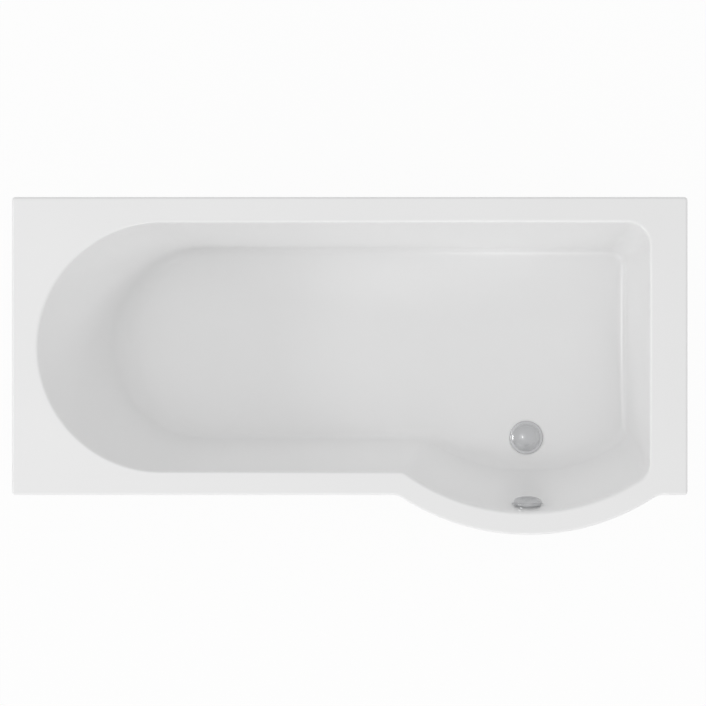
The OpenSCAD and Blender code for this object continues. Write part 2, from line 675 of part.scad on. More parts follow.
module overflow_face() color("silver") at_overflow() difference() {
    disc(face_r, 0, face_t);
    disc(spindle_r + fit, -cut, face_t + cut);
    for (a = [45:45:315]) if (a != 180)
        rotate([0, 0, a]) translate([water_ring_r, 0, 0]) disc(water_hole_r, -cut, face_t + cut);
    for (a = [0, 180])
        rotate([0, 0, a]) translate([water_ring_r, 0, 0]) disc(overflow_screw_r + fit, -cut, face_t + cut);
}
module overflow_gasket() color("dimgray")
    at_overflow() tube(body_flange_r - 1, overflow_hole_d / 2, body_front, -shell_t);
module overflow_screws() color("silver") at_overflow() for (a = [0, 180])
    rotate([0, 0, a]) translate([water_ring_r, 0, 0]) {
        disc(overflow_screw_r, -16, face_t);
        disc(overflow_screw_r * 1.8, face_t, face_t + knob_gap - seat_gap);
    }
module overflow_body() color("gainsboro") at_overflow() difference() {
    union() {
        disc(body_flange_r, body_front - 4, body_front);
        disc(cup_r + cup_wall, cup_back, body_front - 2);
        translate([0, 0, overflow_spigot_z]) rotate([-90, 0, 0]) cylinder(r = spigot_r, h = overflow_spigot_end);
        translate([overflow_cable_x, 0, overflow_spigot_z]) rotate([-90, 0, 0])
            cylinder(r = cable_nozzle_r, h = overflow_cable_end);
        for (a = [0, 180])
            rotate([0, 0, a]) translate([water_ring_r, 0, 0]) disc(post_r, cup_back + cut, 0);
    }
    difference() {
        disc(cup_r, cup_back + cup_wall, body_front + cut);
        for (a = [0, 180])
            rotate([0, 0, a]) translate([water_ring_r, 0, 0]) disc(post_r, cup_back, 0);
    }
    for (a = [0, 180])
        rotate([0, 0, a]) translate([water_ring_r, 0, 0]) disc(overflow_screw_r + fit, -20, cut);
    disc(spindle_r + fit, cup_back - cut, cup_back + cup_wall + cut);
    translate([0, cup_r - 8, overflow_spigot_z]) rotate([-90, 0, 0])
        cylinder(r = spigot_way, h = overflow_spigot_end);
    translate([overflow_cable_x, cup_r - 20, overflow_spigot_z]) rotate([-90, 0, 0])
        cylinder(r = cable_bore - 0.5, h = overflow_cable_end);
    translate([overflow_cable_x, overflow_cable_end - 8, overflow_spigot_z]) rotate([-90, 0, 0])
        cylinder(r = cable_bore + fit, h = overflow_cable_end);
}
module overflow_knob() color("silver") at_overflow() difference() {
    rotate_extrude() polygon([
        [0, knob_z + knob_t], [knob_d / 2 - 4, knob_z + knob_t - 0.6], [knob_d / 2 - 1.2, knob_z + knob_t - 2],
        [knob_d / 2, knob_z + knob_t - 4], [knob_d / 2, knob_z], [knob_d / 2 - knob_wall, knob_z],
        [knob_d / 2 - knob_wall, knob_z + knob_t - knob_wall - 1], [spindle_r + 4, knob_z + knob_t - knob_wall - 1],
        [spindle_r + 4, knob_z + knob_gap], [0, knob_z + knob_gap]
    ]);
    disc(spindle_r, knob_z - cut, knob_z + knob_t - knob_wall);
}
module knob_spindle() color("silver") at_overflow() {
    disc(spindle_r, cup_back, knob_z + knob_t - knob_wall);
    disc(crank_r, cup_back + cup_wall + seat_gap, cup_back + cup_wall + seat_gap + crank_t);
}
module overflow_hose_nut() color("gainsboro") at_overflow() translate([0, 0, overflow_spigot_z])
    rotate([-90, 0, 0]) hose_nut(overflow_spigot_end);

// A route that leaves its start along one direction and comes home along another, straight for a
// stretch at each end and along a smooth curve between
down_wall = [0, cos(overflow_slope), -sin(overflow_slope)];
home = [0, 1, 0];
function bezier(a, b, c, d, t) =
    pow(1 - t, 3) * a + 3 * pow(1 - t, 2) * t * b + 3 * (1 - t) * t * t * c + pow(t, 3) * d;
function route(a, d, straight, reach, n) =
    let (a1 = a + down_wall * straight, d1 = d - home * straight)
    concat([a], [for (k = [0:n]) bezier(a1, a1 + down_wall * reach, d1 - home * reach, d1, k / n)], [d]);
function unit(v) = v / norm(v);
function heading(path, k) =
    unit(path[min(k + 1, len(path) - 1)] - path[max(k - 1, 0)]);
function ring_at(p, t, r, n) =
    let (u = unit([1, 0, 0] - t.x * t), v = cross(u, t))
    [for (i = [0:n - 1]) p + r * (cos(360 * i / n) * u + sin(360 * i / n) * v)];

// Overflow hose: a bore inside ribs, two rings to a rib, with plain straight ends
hose_sides = 8;
hose_r = hose_d / 2;
groove_r = hose_r - 1.5;
hose_start = from_overflow([0, overflow_spigot_end, overflow_spigot_z]);
hose_end = [waste_x, waste_y - spigot_end, spigot_z];
hose_reach = 78;
hose_ribs = floor(norm(hose_start - hose_end) * 1.12 / rib_pitch);
hose_path = route(hose_start, hose_end, hose_d, hose_reach, 2 * hose_ribs);
hose_last = len(hose_path) - 1;
function hose_heading(k) = k == 0 ? down_wall : k == hose_last ? home : heading(hose_path, k);
hose_outer = [for (k = [0:hose_last])
    ring_at(hose_path[k], hose_heading(k), k % 2 == 0 || k == hose_last ? hose_r : groove_r, hose_sides)];
hose_inner = [for (k = [hose_last:-4:0]) ring_at(hose_path[k], hose_heading(k), spigot_r, hose_sides)];
hose_mouth = [ring_at(hose_path[0], down_wall, spigot_r, hose_sides)];

// A skin through rings that close on themselves, for a tube with a bore
module ring_skin(rings) {
    n = len(rings[0]);
    m = len(rings);
    polyhedron(
        points = [for (r = rings) each r],
        faces = [for (k = [0:m - 1], i = [0:n - 1])
            let (j = (i + 1) % n, next = ((k + 1) % m) * n)
            each [[k * n + i, k * n + j, next + j], [k * n + i, next + j, next + i]]],
        convexity = 8
    );
}
module overflow_hose() color("white")
    ring_skin(concat(hose_outer, hose_inner, hose_last % 4 == 0 ? [] : hose_mouth));

// Control cable between the two nozzles, beside the hose
cable_seat = 8;
cable_start = from_overflow([overflow_cable_x, overflow_cable_end - cable_seat, overflow_spigot_z]);
cable_end = [waste_x + cable_x, waste_y - cable_nozzle_end + cable_seat, cable_z];
cable_straight = 30;
cable_reach = 95;
N_CABLE = 36;
cable_path = route(cable_start, cable_end, cable_straight, cable_reach, N_CABLE);
cable_last = len(cable_path) - 1;
module control_cable() color("dimgray") skin([for (k = [0:cable_last])
    ring_at(cable_path[k], k <= 1 ? down_wall : k >= cable_last - 1 ? home : heading(cable_path, k),
        cable_bore, hose_sides)]);
cable_nut_h = 5;
cable_nut_across = 2 * cable_nozzle_r + 4;
module cable_nuts() color("gainsboro") {
    at_overflow() translate([overflow_cable_x, 0, overflow_spigot_z]) rotate([-90, 0, 0])
        hex_nut(cable_nut_across, cable_nozzle_r + fit, overflow_cable_end - cable_nut_h - 3, overflow_cable_end - 3);
    at_waste(cable_z) translate([cable_x, 0, 0]) rotate([90, 0, 0])
        hex_nut(cable_nut_across, cable_nozzle_r + fit, cable_nozzle_end - cable_nut_h - 3, cable_nozzle_end - 3);
}

bath_shell();
baseboard();
batten_back();
batten_front();
batten_head();
batten_foot();
batten_bow();
rail_head();
rail_foot();
rail_screws();
centre_leg_plate();
plate_screws();
leg_stud(0);  // leg_stud_1
leg_stud(1);  // leg_stud_2
leg_stud(2);  // leg_stud_3
leg_stud(3);  // leg_stud_4
leg_stud(4);  // leg_stud_5
foot(0);  // foot_1
foot(1);  // foot_2
foot(2);  // foot_3
foot(3);  // foot_4
foot(4);  // foot_5
upper_leg_nuts();
lower_leg_nuts();
wall_bracket(bracket_x[0]);  // wall_bracket_1
wall_bracket(bracket_x[1]);  // wall_bracket_2
bracket_screws();
waste_flange();
flange_gasket();
waste_gasket();
waste_body();
plug();
plug_seal();
waste_lever();
lever_pin();
waste_hose_nut();
overflow_body();
overflow_gasket();
overflow_face();
overflow_screws();
overflow_knob();
knob_spindle();
overflow_hose_nut();
overflow_hose();
control_cable();
cable_nuts();
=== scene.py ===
"""P shaped shower bath: the finish of every piece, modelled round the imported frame. Metres, +Z up."""
import json
import math

import bmesh
import bpy
from bpy.props import FloatProperty, FloatVectorProperty, PointerProperty
from mathutils import Matrix, Vector


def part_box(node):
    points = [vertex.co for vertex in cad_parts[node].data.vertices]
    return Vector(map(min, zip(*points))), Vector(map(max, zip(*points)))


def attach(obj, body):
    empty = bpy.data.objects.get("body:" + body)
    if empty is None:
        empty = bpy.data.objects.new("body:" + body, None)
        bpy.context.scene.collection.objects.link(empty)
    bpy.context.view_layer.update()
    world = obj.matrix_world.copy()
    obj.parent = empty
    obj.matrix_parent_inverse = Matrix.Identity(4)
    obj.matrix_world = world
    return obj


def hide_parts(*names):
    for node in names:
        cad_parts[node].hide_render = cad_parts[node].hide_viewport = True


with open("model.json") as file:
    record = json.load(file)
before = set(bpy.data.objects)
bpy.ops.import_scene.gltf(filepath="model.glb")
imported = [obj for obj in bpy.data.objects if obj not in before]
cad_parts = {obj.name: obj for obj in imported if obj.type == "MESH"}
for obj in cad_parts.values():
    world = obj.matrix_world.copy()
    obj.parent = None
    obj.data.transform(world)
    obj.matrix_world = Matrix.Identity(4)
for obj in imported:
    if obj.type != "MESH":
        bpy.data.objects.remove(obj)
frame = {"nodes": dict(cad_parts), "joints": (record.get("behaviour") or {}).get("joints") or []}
NODES = frame["nodes"]
JOINTS = {joint["name"]: joint for joint in frame["joints"]}
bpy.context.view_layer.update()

bl_info = {
    "name": "P shaped shower bath",
    "version": (1, 0, 0),
    "blender": (4, 5, 0),
    "location": "3D View > Sidebar > Shower bath",
    "description": "Models and finishes a P shaped shower bath with its waste, overflow and legs",
    "category": "Object",
}

MM = 0.001
X_AXIS = Vector((1, 0, 0))
Y_AXIS = Vector((0, 1, 0))


# What the frame says about places


def middle_of(node):
    """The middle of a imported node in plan."""
    low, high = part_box(node)
    return Vector(((low.x + high.x) / 2, (low.y + high.y) / 2, 0))


SHELL_LOW, SHELL_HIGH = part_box("bath_shell")
WASTE = middle_of("plug")
OVERFLOW = Vector(JOINTS["knob_turn"]["pos_m"])
OVERFLOW_AXIS = Vector(JOINTS["knob_turn"]["axis"]).normalized()
DOWN_WALL = OVERFLOW_AXIS.cross(X_AXIS)
LEG_COUNT = 5


# Sizes and colours that a user would change


def length(name, description, default):
    """A length that a user may set, in metres."""
    return FloatProperty(name=name, description=description, default=default, unit="LENGTH")


def colour(name, description, default):
    """A colour that a user may set."""
    return FloatVectorProperty(name=name, description=description, default=default, size=3, subtype="COLOR")


class TubSizes(bpy.types.PropertyGroup):
    """Sizes of the moulded tub."""

    straight_width: length("Straight width", "Width over the straight part of the rim", 0.750)
    bow_radius: length("Bow radius", "Radius of the bow's outer edge", 0.586)
    rim_back: length("Back rim", "Width of the rim at the back", 0.0645)
    rim_front: length("Front rim", "Width of the rim at the straight front", 0.059)
    rim_bow: length("Bow rim", "Width of the rim round the bow", 0.057)
    rim_head: length("Head rim", "Width of the rim at the sloping end", 0.064)
    rim_foot: length("Foot rim", "Width of the rim at the shower end", 0.095)
    back_run: length("Back slope", "Slope of the back wall in plan", 0.064)
    front_run: length("Front slope", "Slope of the front wall in plan", 0.082)
    bow_run: length("Bow slope", "Slope of the bow's wall in plan", 0.104)
    foot_run: length("Foot slope", "Slope of the shower end's wall in plan", 0.054)
    head_run: length("Backrest slope", "Slope of the backrest in plan", 0.207)
    head_round: length("Head round", "Length of the floor's rounded head end", 0.220)
    depth: length("Depth", "Depth of the well at the waste", 0.395)
    fall: length("Fall", "Fall of the floor towards the waste", 0.005)
    thickness: length("Thickness", "Thickness of the shell", 0.006)
    edge_radius: length("Edge radius", "Radius of the rim's outer edge", 0.006)
    lip_radius: length("Lip radius", "Radius of the lip into the well", 0.010)
    foot_radius: length("Foot radius", "Radius between walls and floor", 0.032)
    backrest_radius: length("Backrest radius", "Radius between backrest and floor", 0.080)


class FittingSizes(bpy.types.PropertyGroup):
    """Sizes of the waste, the overflow and the legs."""

    flange_diameter: length("Flange", "Diameter of the waste flange", 0.084)
    plug_diameter: length("Plug", "Diameter of the plug's dome", 0.070)
    knob_diameter: length("Knob", "Diameter of the overflow knob", 0.070)
    hose_diameter: length("Hose", "Outside diameter of the overflow hose", 0.028)
    hose_bore: length("Hose bore", "Bore of the overflow hose", 0.021)
    cable_diameter: length("Cable", "Diameter of the control cable", 0.005)
    thread_pitch: length("Thread pitch", "Pitch of the legs' threads", 0.0015)


class FinishColours(bpy.types.PropertyGroup):
    """Colours of the main finishes."""

    acrylic: colour("Acrylic", "Colour of the tub", (0.945, 0.945, 0.945))
    laminate: colour("Laminate", "Colour of the tub's glass-fibre back", (0.70, 0.68, 0.60))
    chrome: colour("Chrome", "Colour of the chrome plate", (0.60, 0.605, 0.615))
    timber: colour("Timber", "Colour of the rim battens", (0.60, 0.42, 0.24))
    board: colour("Board", "Colour of the baseboard", (0.50, 0.36, 0.20))
    steel: colour("Steel", "Colour of the galvanised rails", (0.52, 0.54, 0.56))


def tub():
    """The tub's sizes as they are set now."""
    return bpy.context.scene.tub_sizes


def fittings():
    """The fittings' sizes as they are set now."""
    return bpy.context.scene.fitting_sizes


def colours():
    """The colours as they are set now."""
    return bpy.context.scene.finish_colours


# Shader groups that several finishes share

# The part of its range that a noise mostly fills
NOISE_LOW, NOISE_HIGH = 0.3, 0.7
# Pointiness of a flat surface; more is an edge
FLAT_POINTINESS = 0.5


def fill(tree, socket, value):
    """Links a socket to another node's output, or gives it a plain value."""
    if isinstance(value, bpy.types.NodeSocket):
        tree.links.new(value, socket)
    else:
        socket.default_value = value


def add_node(tree, kind, **values):
    """A new node with its sockets filled. An underscore stands for the space in a socket's name."""
    node = tree.nodes.new("ShaderNode" + kind)
    for name, value in values.items():
        fill(tree, node.inputs[name.replace("_", " ")], value)
    return node


def maths(tree, operation, first, second):
    """The result of one operation on two outputs, or on an output and a plain number."""
    node = add_node(tree, "Math")
    node.operation = operation
    fill(tree, node.inputs[0], first)
    fill(tree, node.inputs[1], second)
    return node.outputs["Value"]


def place_at_object(tree, stretch=(1, 1, 1)):
    """Object coordinates, stretched along an axis for grain and drawn lines."""
    where = add_node(tree, "TexCoord").outputs["Object"]
    return add_node(tree, "Mapping", Vector=where, Scale=stretch).outputs["Vector"]


def new_group(name, output, **inputs):
    """An empty shader group with one float output: the group, what it is given, and its result's socket."""
    group = bpy.data.node_groups.new(name, "ShaderNodeTree")
    for socket, value in inputs.items():
        made = group.interface.new_socket(
            name=socket.replace("_", " "), in_out="INPUT", socket_type="NodeSocketFloat")
        made.default_value = value
    group.interface.new_socket(name=output, in_out="OUTPUT", socket_type="NodeSocketFloat")
    given, result = group.nodes.new("NodeGroupInput"), group.nodes.new("NodeGroupOutput")
    return group, given.outputs, result.inputs[output]


def cloudy_group():
    """Slow cloudy change over a surface, between two values."""
    group, given, result = new_group("cloudy change", "Value", Scale=6, Low=0.1, High=0.2)
    noise = add_node(group, "TexNoise", Vector=place_at_object(group), Scale=given["Scale"], Detail=4)
    spread = add_node(group, "MapRange", Value=noise.outputs["Fac"], From_Min=NOISE_LOW, From_Max=NOISE_HIGH,
                      To_Min=given["Low"], To_Max=given["High"])
    fill(group, result, spread.outputs["Result"])
    return group


def grain_group():
    """Fine grain of a moulded or cast surface, as a height."""
    group, given, result = new_group("fine grain", "Height", Scale=400, Roundness=0.4)
    noise = add_node(group, "TexNoise", Vector=place_at_object(group), Scale=given["Scale"], Detail=3,
                     Roughness=given["Roundness"])
    fill(group, result, noise.outputs["Fac"])
    return group


def wear_group():
    """A mask of worn edges, from how sharply the surface turns."""
    group, given, result = new_group("edge wear", "Mask", Width=0.06, Break_up=60)
    edge = add_node(group, "MapRange", Value=add_node(group, "NewGeometry").outputs["Pointiness"],
                    From_Min=FLAT_POINTINESS, From_Max=maths(group, "ADD", given["Width"], FLAT_POINTINESS))
    noise = add_node(group, "TexNoise", Vector=place_at_object(group), Scale=given["Break up"])
    fill(group, result, maths(group, "MULTIPLY", edge.outputs["Result"], noise.outputs["Fac"]))
    return group


GROUPS = {"cloudy change": cloudy_group, "fine grain": grain_group, "edge wear": wear_group}


def grouped(tree, kind, **values):
    """The output of one of the shared groups, placed in a material with its own values."""
    node = add_node(tree, "Group")
    node.node_tree = bpy.data.node_groups.get(kind) or GROUPS[kind]()
    for name, value in values.items():
        fill(tree, node.inputs[name.replace("_", " ")], value)
    return node.outputs[0]


# Finishes

ACRYLIC_IOR = 1.49
ACRYLIC_GLOSS = 0.29


def tone(colour, factor):
    """A lighter or darker tone of a colour."""
    return tuple(min(1.0, channel * factor) for channel in colour)


class Finish:
    """A material with its Principled shader, and short ways to drive its sockets."""

    def __init__(self, name, metallic=0.0, ior=1.5):
        self.material = bpy.data.materials.new(name)
        self.material.use_nodes = True
        self.tree = self.material.node_tree
        self.drive("Metallic", metallic)
        self.drive("IOR", ior)

    def drive(self, socket, value):
        """Fills one of the shader's sockets."""
        fill(self.tree, self.tree.nodes["Principled BSDF"].inputs[socket], value)

    def two_colours(self, mask, first, second):
        """Base colour that changes between two colours with a mask."""
        mix = add_node(self.tree, "Mix")
        mix.data_type = "RGBA"
        for socket, value in (("Factor", mask), ("A", (*first, 1)), ("B", (*second, 1))):
            fill(self.tree, mix.inputs[socket], value)
        self.drive("Base Color", mix.outputs["Result"])

    def two_tones(self, mask, colour, first, second):
        """Base colour that changes between two tones of one colour with a mask."""
        self.two_colours(mask, tone(colour, first), tone(colour, second))

    def roughness(self, low, high, scale):
        """Roughness that drifts between two values."""
        self.drive("Roughness", grouped(self.tree, "cloudy change", Scale=scale, Low=low, High=high))

    def bump(self, height, strength, distance):
        """A bump from a height, in metres."""
        bump = add_node(self.tree, "Bump", Strength=strength, Distance=distance, Height=height)
        self.drive("Normal", bump.outputs["Normal"])

    def grain(self, scale, roundness, strength, distance):
        """A bump from the shared fine grain."""
        self.bump(grouped(self.tree, "fine grain", Scale=scale, Roundness=roundness), strength, distance)

    def worn(self, width, break_up):
        """A mask from the shared edge wear."""
        return grouped(self.tree, "edge wear", Width=width, Break_up=break_up)

    def noise(self, scale, detail, stretch=(1, 1, 1)):
        """Noise on Object coordinates."""
        where = place_at_object(self.tree, stretch)
        return add_node(self.tree, "TexNoise", Vector=where, Scale=scale, Detail=detail).outputs["Fac"]

    def cells(self, scale, stretch=(1, 1, 1)):
        """Cell colours on Object coordinates, as one channel."""
        cell = add_node(self.tree, "TexVoronoi", Vector=place_at_object(self.tree, stretch), Scale=scale)
        return add_node(self.tree, "SeparateColor", Color=cell.outputs["Color"]).outputs["Red"]


def acrylic():
    """White acrylic under a soft gloss: faint clouding and a trace of ripple from the forming."""
    finish = Finish("white acrylic", ior=ACRYLIC_IOR)
    finish.two_tones(finish.noise(3.0, 2), colours().acrylic, 0.985, 1.015)
    finish.roughness(ACRYLIC_GLOSS, 0.33, 9)
    finish.drive("Coat Weight", 1.0)
    finish.drive("Coat Roughness", ACRYLIC_GLOSS)
    finish.drive("Coat IOR", ACRYLIC_IOR)
    finish.grain(90, 0.3, 0.04, 0.0004)
    return finish.material


def laminate():
    """The tub's back: chopped glass-fibre mat under resin."""
    finish = Finish("glass fibre laminate", ior=1.53)
    strands = finish.noise(120, 6, (1, 0.25, 1))
    finish.two_tones(strands, colours().laminate, 0.86, 1.1)
    finish.roughness(0.3, 0.6, 25)
    finish.bump(strands, 0.5, 0.0015)
    return finish.material


def chrome():
    """Satin chrome plate with dried water spots in its gloss."""
    finish = Finish("satin chrome", metallic=1.0)
    finish.two_tones(finish.noise(30, 3), colours().chrome, 0.97, 1.03)
    finish.roughness(0.20, 0.265, 60)
    return finish.material


def softwood(name, stretch):
    """Planed softwood, with its grain along the axis that is stretched least."""
    finish = Finish(name)
    grain = finish.noise(7, 6, stretch)
    finish.two_tones(grain, colours().timber, 0.72, 1.2)
    finish.roughness(0.55, 0.75, 20)
    finish.bump(grain, 0.3, 0.0008)
    return finish.material


def chipboard():
    """Pressed wood flakes."""
    finish = Finish("chipboard")
    flakes = finish.cells(220, (1, 1.6, 1))
    finish.two_tones(flakes, colours().board, 0.62, 1.35)
    finish.roughness(0.6, 0.85, 40)
    finish.bump(flakes, 0.25, 0.0005)
    return finish.material


def galvanised():
    """Zinc spangle on sheet steel, duller where it is handled."""
    finish = Finish("galvanised steel", metallic=1.0)
    spangle = finish.cells(130)
    finish.two_tones(spangle, colours().steel, 0.82, 1.18)
    finish.roughness(0.32, 0.5, 30)
    finish.bump(spangle, 0.08, 0.0003)
    return finish.material


def zinc():
    """Bright zinc plate with worn crests."""
    finish = Finish("bright zinc plate", metallic=1.0)
    finish.two_tones(finish.worn(0.08, 300), colours().steel, 1.1, 1.5)
    finish.roughness(0.29, 0.38, 80)
    return finish.material


def moulded(name, colour, low, high, grain_scale=500):
    """A moulded plastic or rubber with its fine grain and rubbed edges, and its range of roughness."""
    finish = Finish(name)
    finish.two_tones(finish.worn(0.1, 120), colour, 1.0, 1.25)
    finish.roughness(low, high, 40)
    finish.grain(grain_scale, 0.5, 0.15, 0.0003)
    return finish.material


def brass():
    """Turned brass with faint tool rings."""
    finish = Finish("turned brass", metallic=1.0)
    finish.two_colours(finish.noise(40, 3, (1, 1, 20)), (0.55, 0.40, 0.17), (0.68, 0.52, 0.26))
    finish.roughness(0.29, 0.36, 60)
    return finish.material


FINISHES = {
    "white_acrylic": acrylic,
    "laminate": laminate,
    "chrome": chrome,
    "timber": lambda: softwood("planed softwood", (0.6, 14, 14)),
    "end_timber": lambda: softwood("planed softwood across", (14, 0.6, 14)),
    "chipboard": chipboard,
    "galvanised_steel": galvanised,
    "zinc_plated_steel": zinc,
    "foot_plastic": lambda: moulded("black foot plastic", (0.025, 0.025, 0.027), 0.4, 0.6),
    "seal_rubber": lambda: moulded("seal rubber", (0.02, 0.02, 0.02), 0.55, 0.8, 700),
    "fitting_plastic": lambda: moulded("white fitting plastic", (0.72, 0.72, 0.70), 0.35, 0.5),
    "white_hose": lambda: moulded("white hose plastic", (0.68, 0.68, 0.66), 0.3, 0.45),
    "cable_sheath": lambda: moulded("black cable sheath", (0.03, 0.03, 0.032), 0.35, 0.5),
    "brass": brass,
}
FINISHED = {}


def finish_of(name):
    """The named finish, made once."""
    if name not in FINISHED:
        FINISHED[name] = FINISHES[name]()
    return FINISHED[name]


# Building meshes

SHARP_ANGLE = math.radians(35)
TOUCHING = 1e-6
# Steps round a turned piece, a turned piece that shows close by, and a rounded corner of a profile
SPIN_STEPS, FINE_SPIN_STEPS, ROUNDING_STEPS = 96, 128, 5


def clean_faces(bm):
    """Merges what touches and turns every face outward."""
    bmesh.ops.remove_doubles(bm, verts=bm.verts, dist=TOUCHING)
    bmesh.ops.recalc_face_normals(bm, faces=bm.faces)


def smooth(mesh):
    """Smooth shading with sharp edges."""
    mesh.shade_smooth()
    mesh.set_sharp_from_angle(angle=SHARP_ANGLE)


def add_piece(name, node, bm, body, *finishes):
    """A finished object from a bmesh: it rides on a body and stands for a CAD node."""
    mesh = bpy.data.meshes.new(name)
    bm.to_mesh(mesh)
    bm.free()
    for finish in finishes:
        mesh.materials.append(finish_of(finish))
    smooth(mesh)
    piece = bpy.data.objects.new(name, mesh)
    bpy.context.scene.collection.objects.link(piece)
    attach(piece, body)
    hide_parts(node)
    return piece


def spin_into(bm, profile, place, steps, closed=False):
    """Turns a profile of (radius, height) points round the Z axis, then puts it in place."""
    before = set(bm.verts)
    verts = [bm.verts.new((radius, 0, height)) for radius, height in profile]
    pairs = list(zip(verts, verts[1:])) + ([(verts[-1], verts[0])] if closed else [])
    edges = [bm.edges.new(pair) for pair in pairs]
    bmesh.ops.spin(
        bm, geom=verts + edges, cent=(0, 0, 0), axis=(0, 0, 1), angle=math.tau, steps=steps, use_merge=True)
    bmesh.ops.transform(bm, matrix=place, verts=[vert for vert in bm.verts if vert not in before])


def turned(profile, place, steps=FINE_SPIN_STEPS, closed=False):
    """A clean turned solid."""
    bm = bmesh.new()
    spin_into(bm, profile, place, steps, closed)
    clean_faces(bm)
    return bm


def rounded(points):
    """A profile of (radius, height) points. A third number rounds the corner at its point."""
    out = []
    for index, (across, height, *rounding) in enumerate(points):
        if not rounding:
            out.append((across, height))
            continue
        here = Vector((across, height))
        to_last = (Vector(points[index - 1][:2]) - here).normalized()
        to_next = (Vector(points[(index + 1) % len(points)][:2]) - here).normalized()
        half, radius = to_last.angle(to_next) / 2, rounding[0]
        reach = radius / math.tan(half)
        centre = here + (to_last + to_next).normalized() * radius / math.sin(half)
        first = here + to_last * reach - centre
        second = here + to_next * reach - centre
        for step in range(ROUNDING_STEPS + 1):
            direction = first.slerp(second, step / ROUNDING_STEPS).normalized()
            out.append(tuple(centre + direction * radius))
    return out


def first_ring(bm, points):
    """A closed ring of edges through points."""
    ring = [bm.verts.new(point) for point in points]
    for pair in zip(ring, ring[1:] + ring[:1]):
        bm.edges.new(pair)
    return ring


def edges_of(bm, ring):
    """The edges of a closed ring of vertices."""
    return [bm.edges.get(pair) for pair in zip(ring, ring[1:] + ring[:1])]


def next_ring(bm, ring, points):
    """Pulls a closed ring of vertices out to new points, and gives back the new ring in the same order."""
    made = bmesh.ops.extrude_edge_only(bm, edges=edges_of(bm, ring))["geom"]
    fresh = {item for item in made if isinstance(item, bmesh.types.BMVert)}
    new = [next(edge.other_vert(vert) for edge in vert.link_edges if edge.other_vert(vert) in fresh)
           for vert in ring]
    for vert, point in zip(new, points):
        vert.co = point
    return new


def cut_with(piece, tools, operation="DIFFERENCE"):
    """Applies each tool to a piece with an exact Boolean, then removes it."""
    for tool in tools:
        modifier = piece.modifiers.new("cut", "BOOLEAN")
        modifier.object = tool
        modifier.operation = operation
        modifier.solver = "EXACT"
    bpy.context.view_layer.update()
    graph = bpy.context.evaluated_depsgraph_get()
    result = bpy.data.meshes.new_from_object(piece.evaluated_get(graph), depsgraph=graph)
    piece.modifiers.clear()
    old = piece.data
    piece.data = result
    result.name = old.name
    bpy.data.meshes.remove(old)
    smooth(result)
    for tool in tools:
        mesh = tool.data
        bpy.data.objects.remove(tool)
        bpy.data.meshes.remove(mesh)


def cutter(profile, place):
    """A turned solid to cut with, or to add."""
    bm = turned(profile, place, SPIN_STEPS)
    mesh = bpy.data.meshes.new("cutter")
    bm.to_mesh(mesh)
    bm.free()
    tool = bpy.data.objects.new("cutter", mesh)
    bpy.context.scene.collection.objects.link(tool)
    return tool


def disc(radius, low, high, place):
    """A plain disc to cut with, or to add."""
    return cutter([(0, low), (radius, low), (radius, high), (0, high)], place)


def spread_round(place, count, radius, start=0.0):
    """Places on a circle round a centre; start is a share of the step between them."""
    out = Matrix.Translation((radius, 0, 0))
    return [place @ Matrix.Rotation(math.tau * (k + start) / count, 4, "Z") @ out for k in range(count)]


def at_overflow():
    """The overflow's own axes: +Z into the well, +Y down the wall."""
    turn = Matrix((X_AXIS, DOWN_WALL, OVERFLOW_AXIS)).transposed().to_4x4()
    return Matrix.Translation(OVERFLOW) @ turn


def at_waste():
    """The waste's axes: upright, from the level of the feet."""
    return Matrix.Translation(WASTE)


# Outline of the tub

# Points on each stretch of an outline
FRONT_STEPS, JOINT_STEPS, BOW_STEPS, CORNER_STEPS = 24, 20, 48, 32
END_STEPS, BACK_STEPS, SIDE_STEPS, TURN_STEPS, HEAD_STEPS = 20, 32, 28, 12, 48
ROUND_STEPS = 2 * SIDE_STEPS + 2 * TURN_STEPS + HEAD_STEPS
# Radii in plan: the back corner, the corner beside the bow, and the turn from the front into the bow
MOUTH_ROUNDS = (0.058, 0.050, 0.030)
FLOOR_ROUNDS = (0.040, 0.045, 0.045)
RIM_CORNER, RIM_JOINT = 0.009, 0.040
# Across the bath the floor falls by this share of what it falls along it
CROSS_FALL = 0.5
# The turned-down edge: its height and its thickness
SKIRT_HEIGHT, RETURN_WALL = 0.038, 0.005
# What the lip's radius at the back is kept over its least
LIP_SPARE = 0.0002
# Steps round the lip, round its back, round the foot and round the rim's edge
LIP_STEPS, UNDER_LIP_STEPS, FOOT_STEPS, EDGE_STEPS = 9, 3, 14, 6
# Where rings lie down the wall and across the rim, as shares of the way
WALL_SHARES = (0.012, 0.1, 0.3, 0.5, 0.7, 0.9, 0.988)
RIM_SHARES = (0.05, 0.5, 0.95)
# The step between the rings that hold the floor flat
FLOOR_STEP = 0.0025


def arc(centre, radius, start, end, steps, whole=False):
    """Points on an arc between two angles in degrees, with or without its last point."""
    x, y = centre
    last = steps - 1 if whole else steps
    turns = [math.radians(start + (end - start) * k / last) for k in range(steps)]
    return [Vector((x + radius * math.cos(turn), y + radius * math.sin(turn))) for turn in turns]


def line(start, end, steps):
    """Points on a line without its last point."""
    return [Vector(start).lerp(Vector(end), k / steps) for k in range(steps)]


def raised(loop, height):
    """The points of an outline at one height."""
    return [Vector((point.x, point.y, height)) for point in loop]


def bow_centre():
    """The middle of the bow's arc in plan."""
    return Vector((WASTE.x, SHELL_LOW.y + tub().bow_radius))


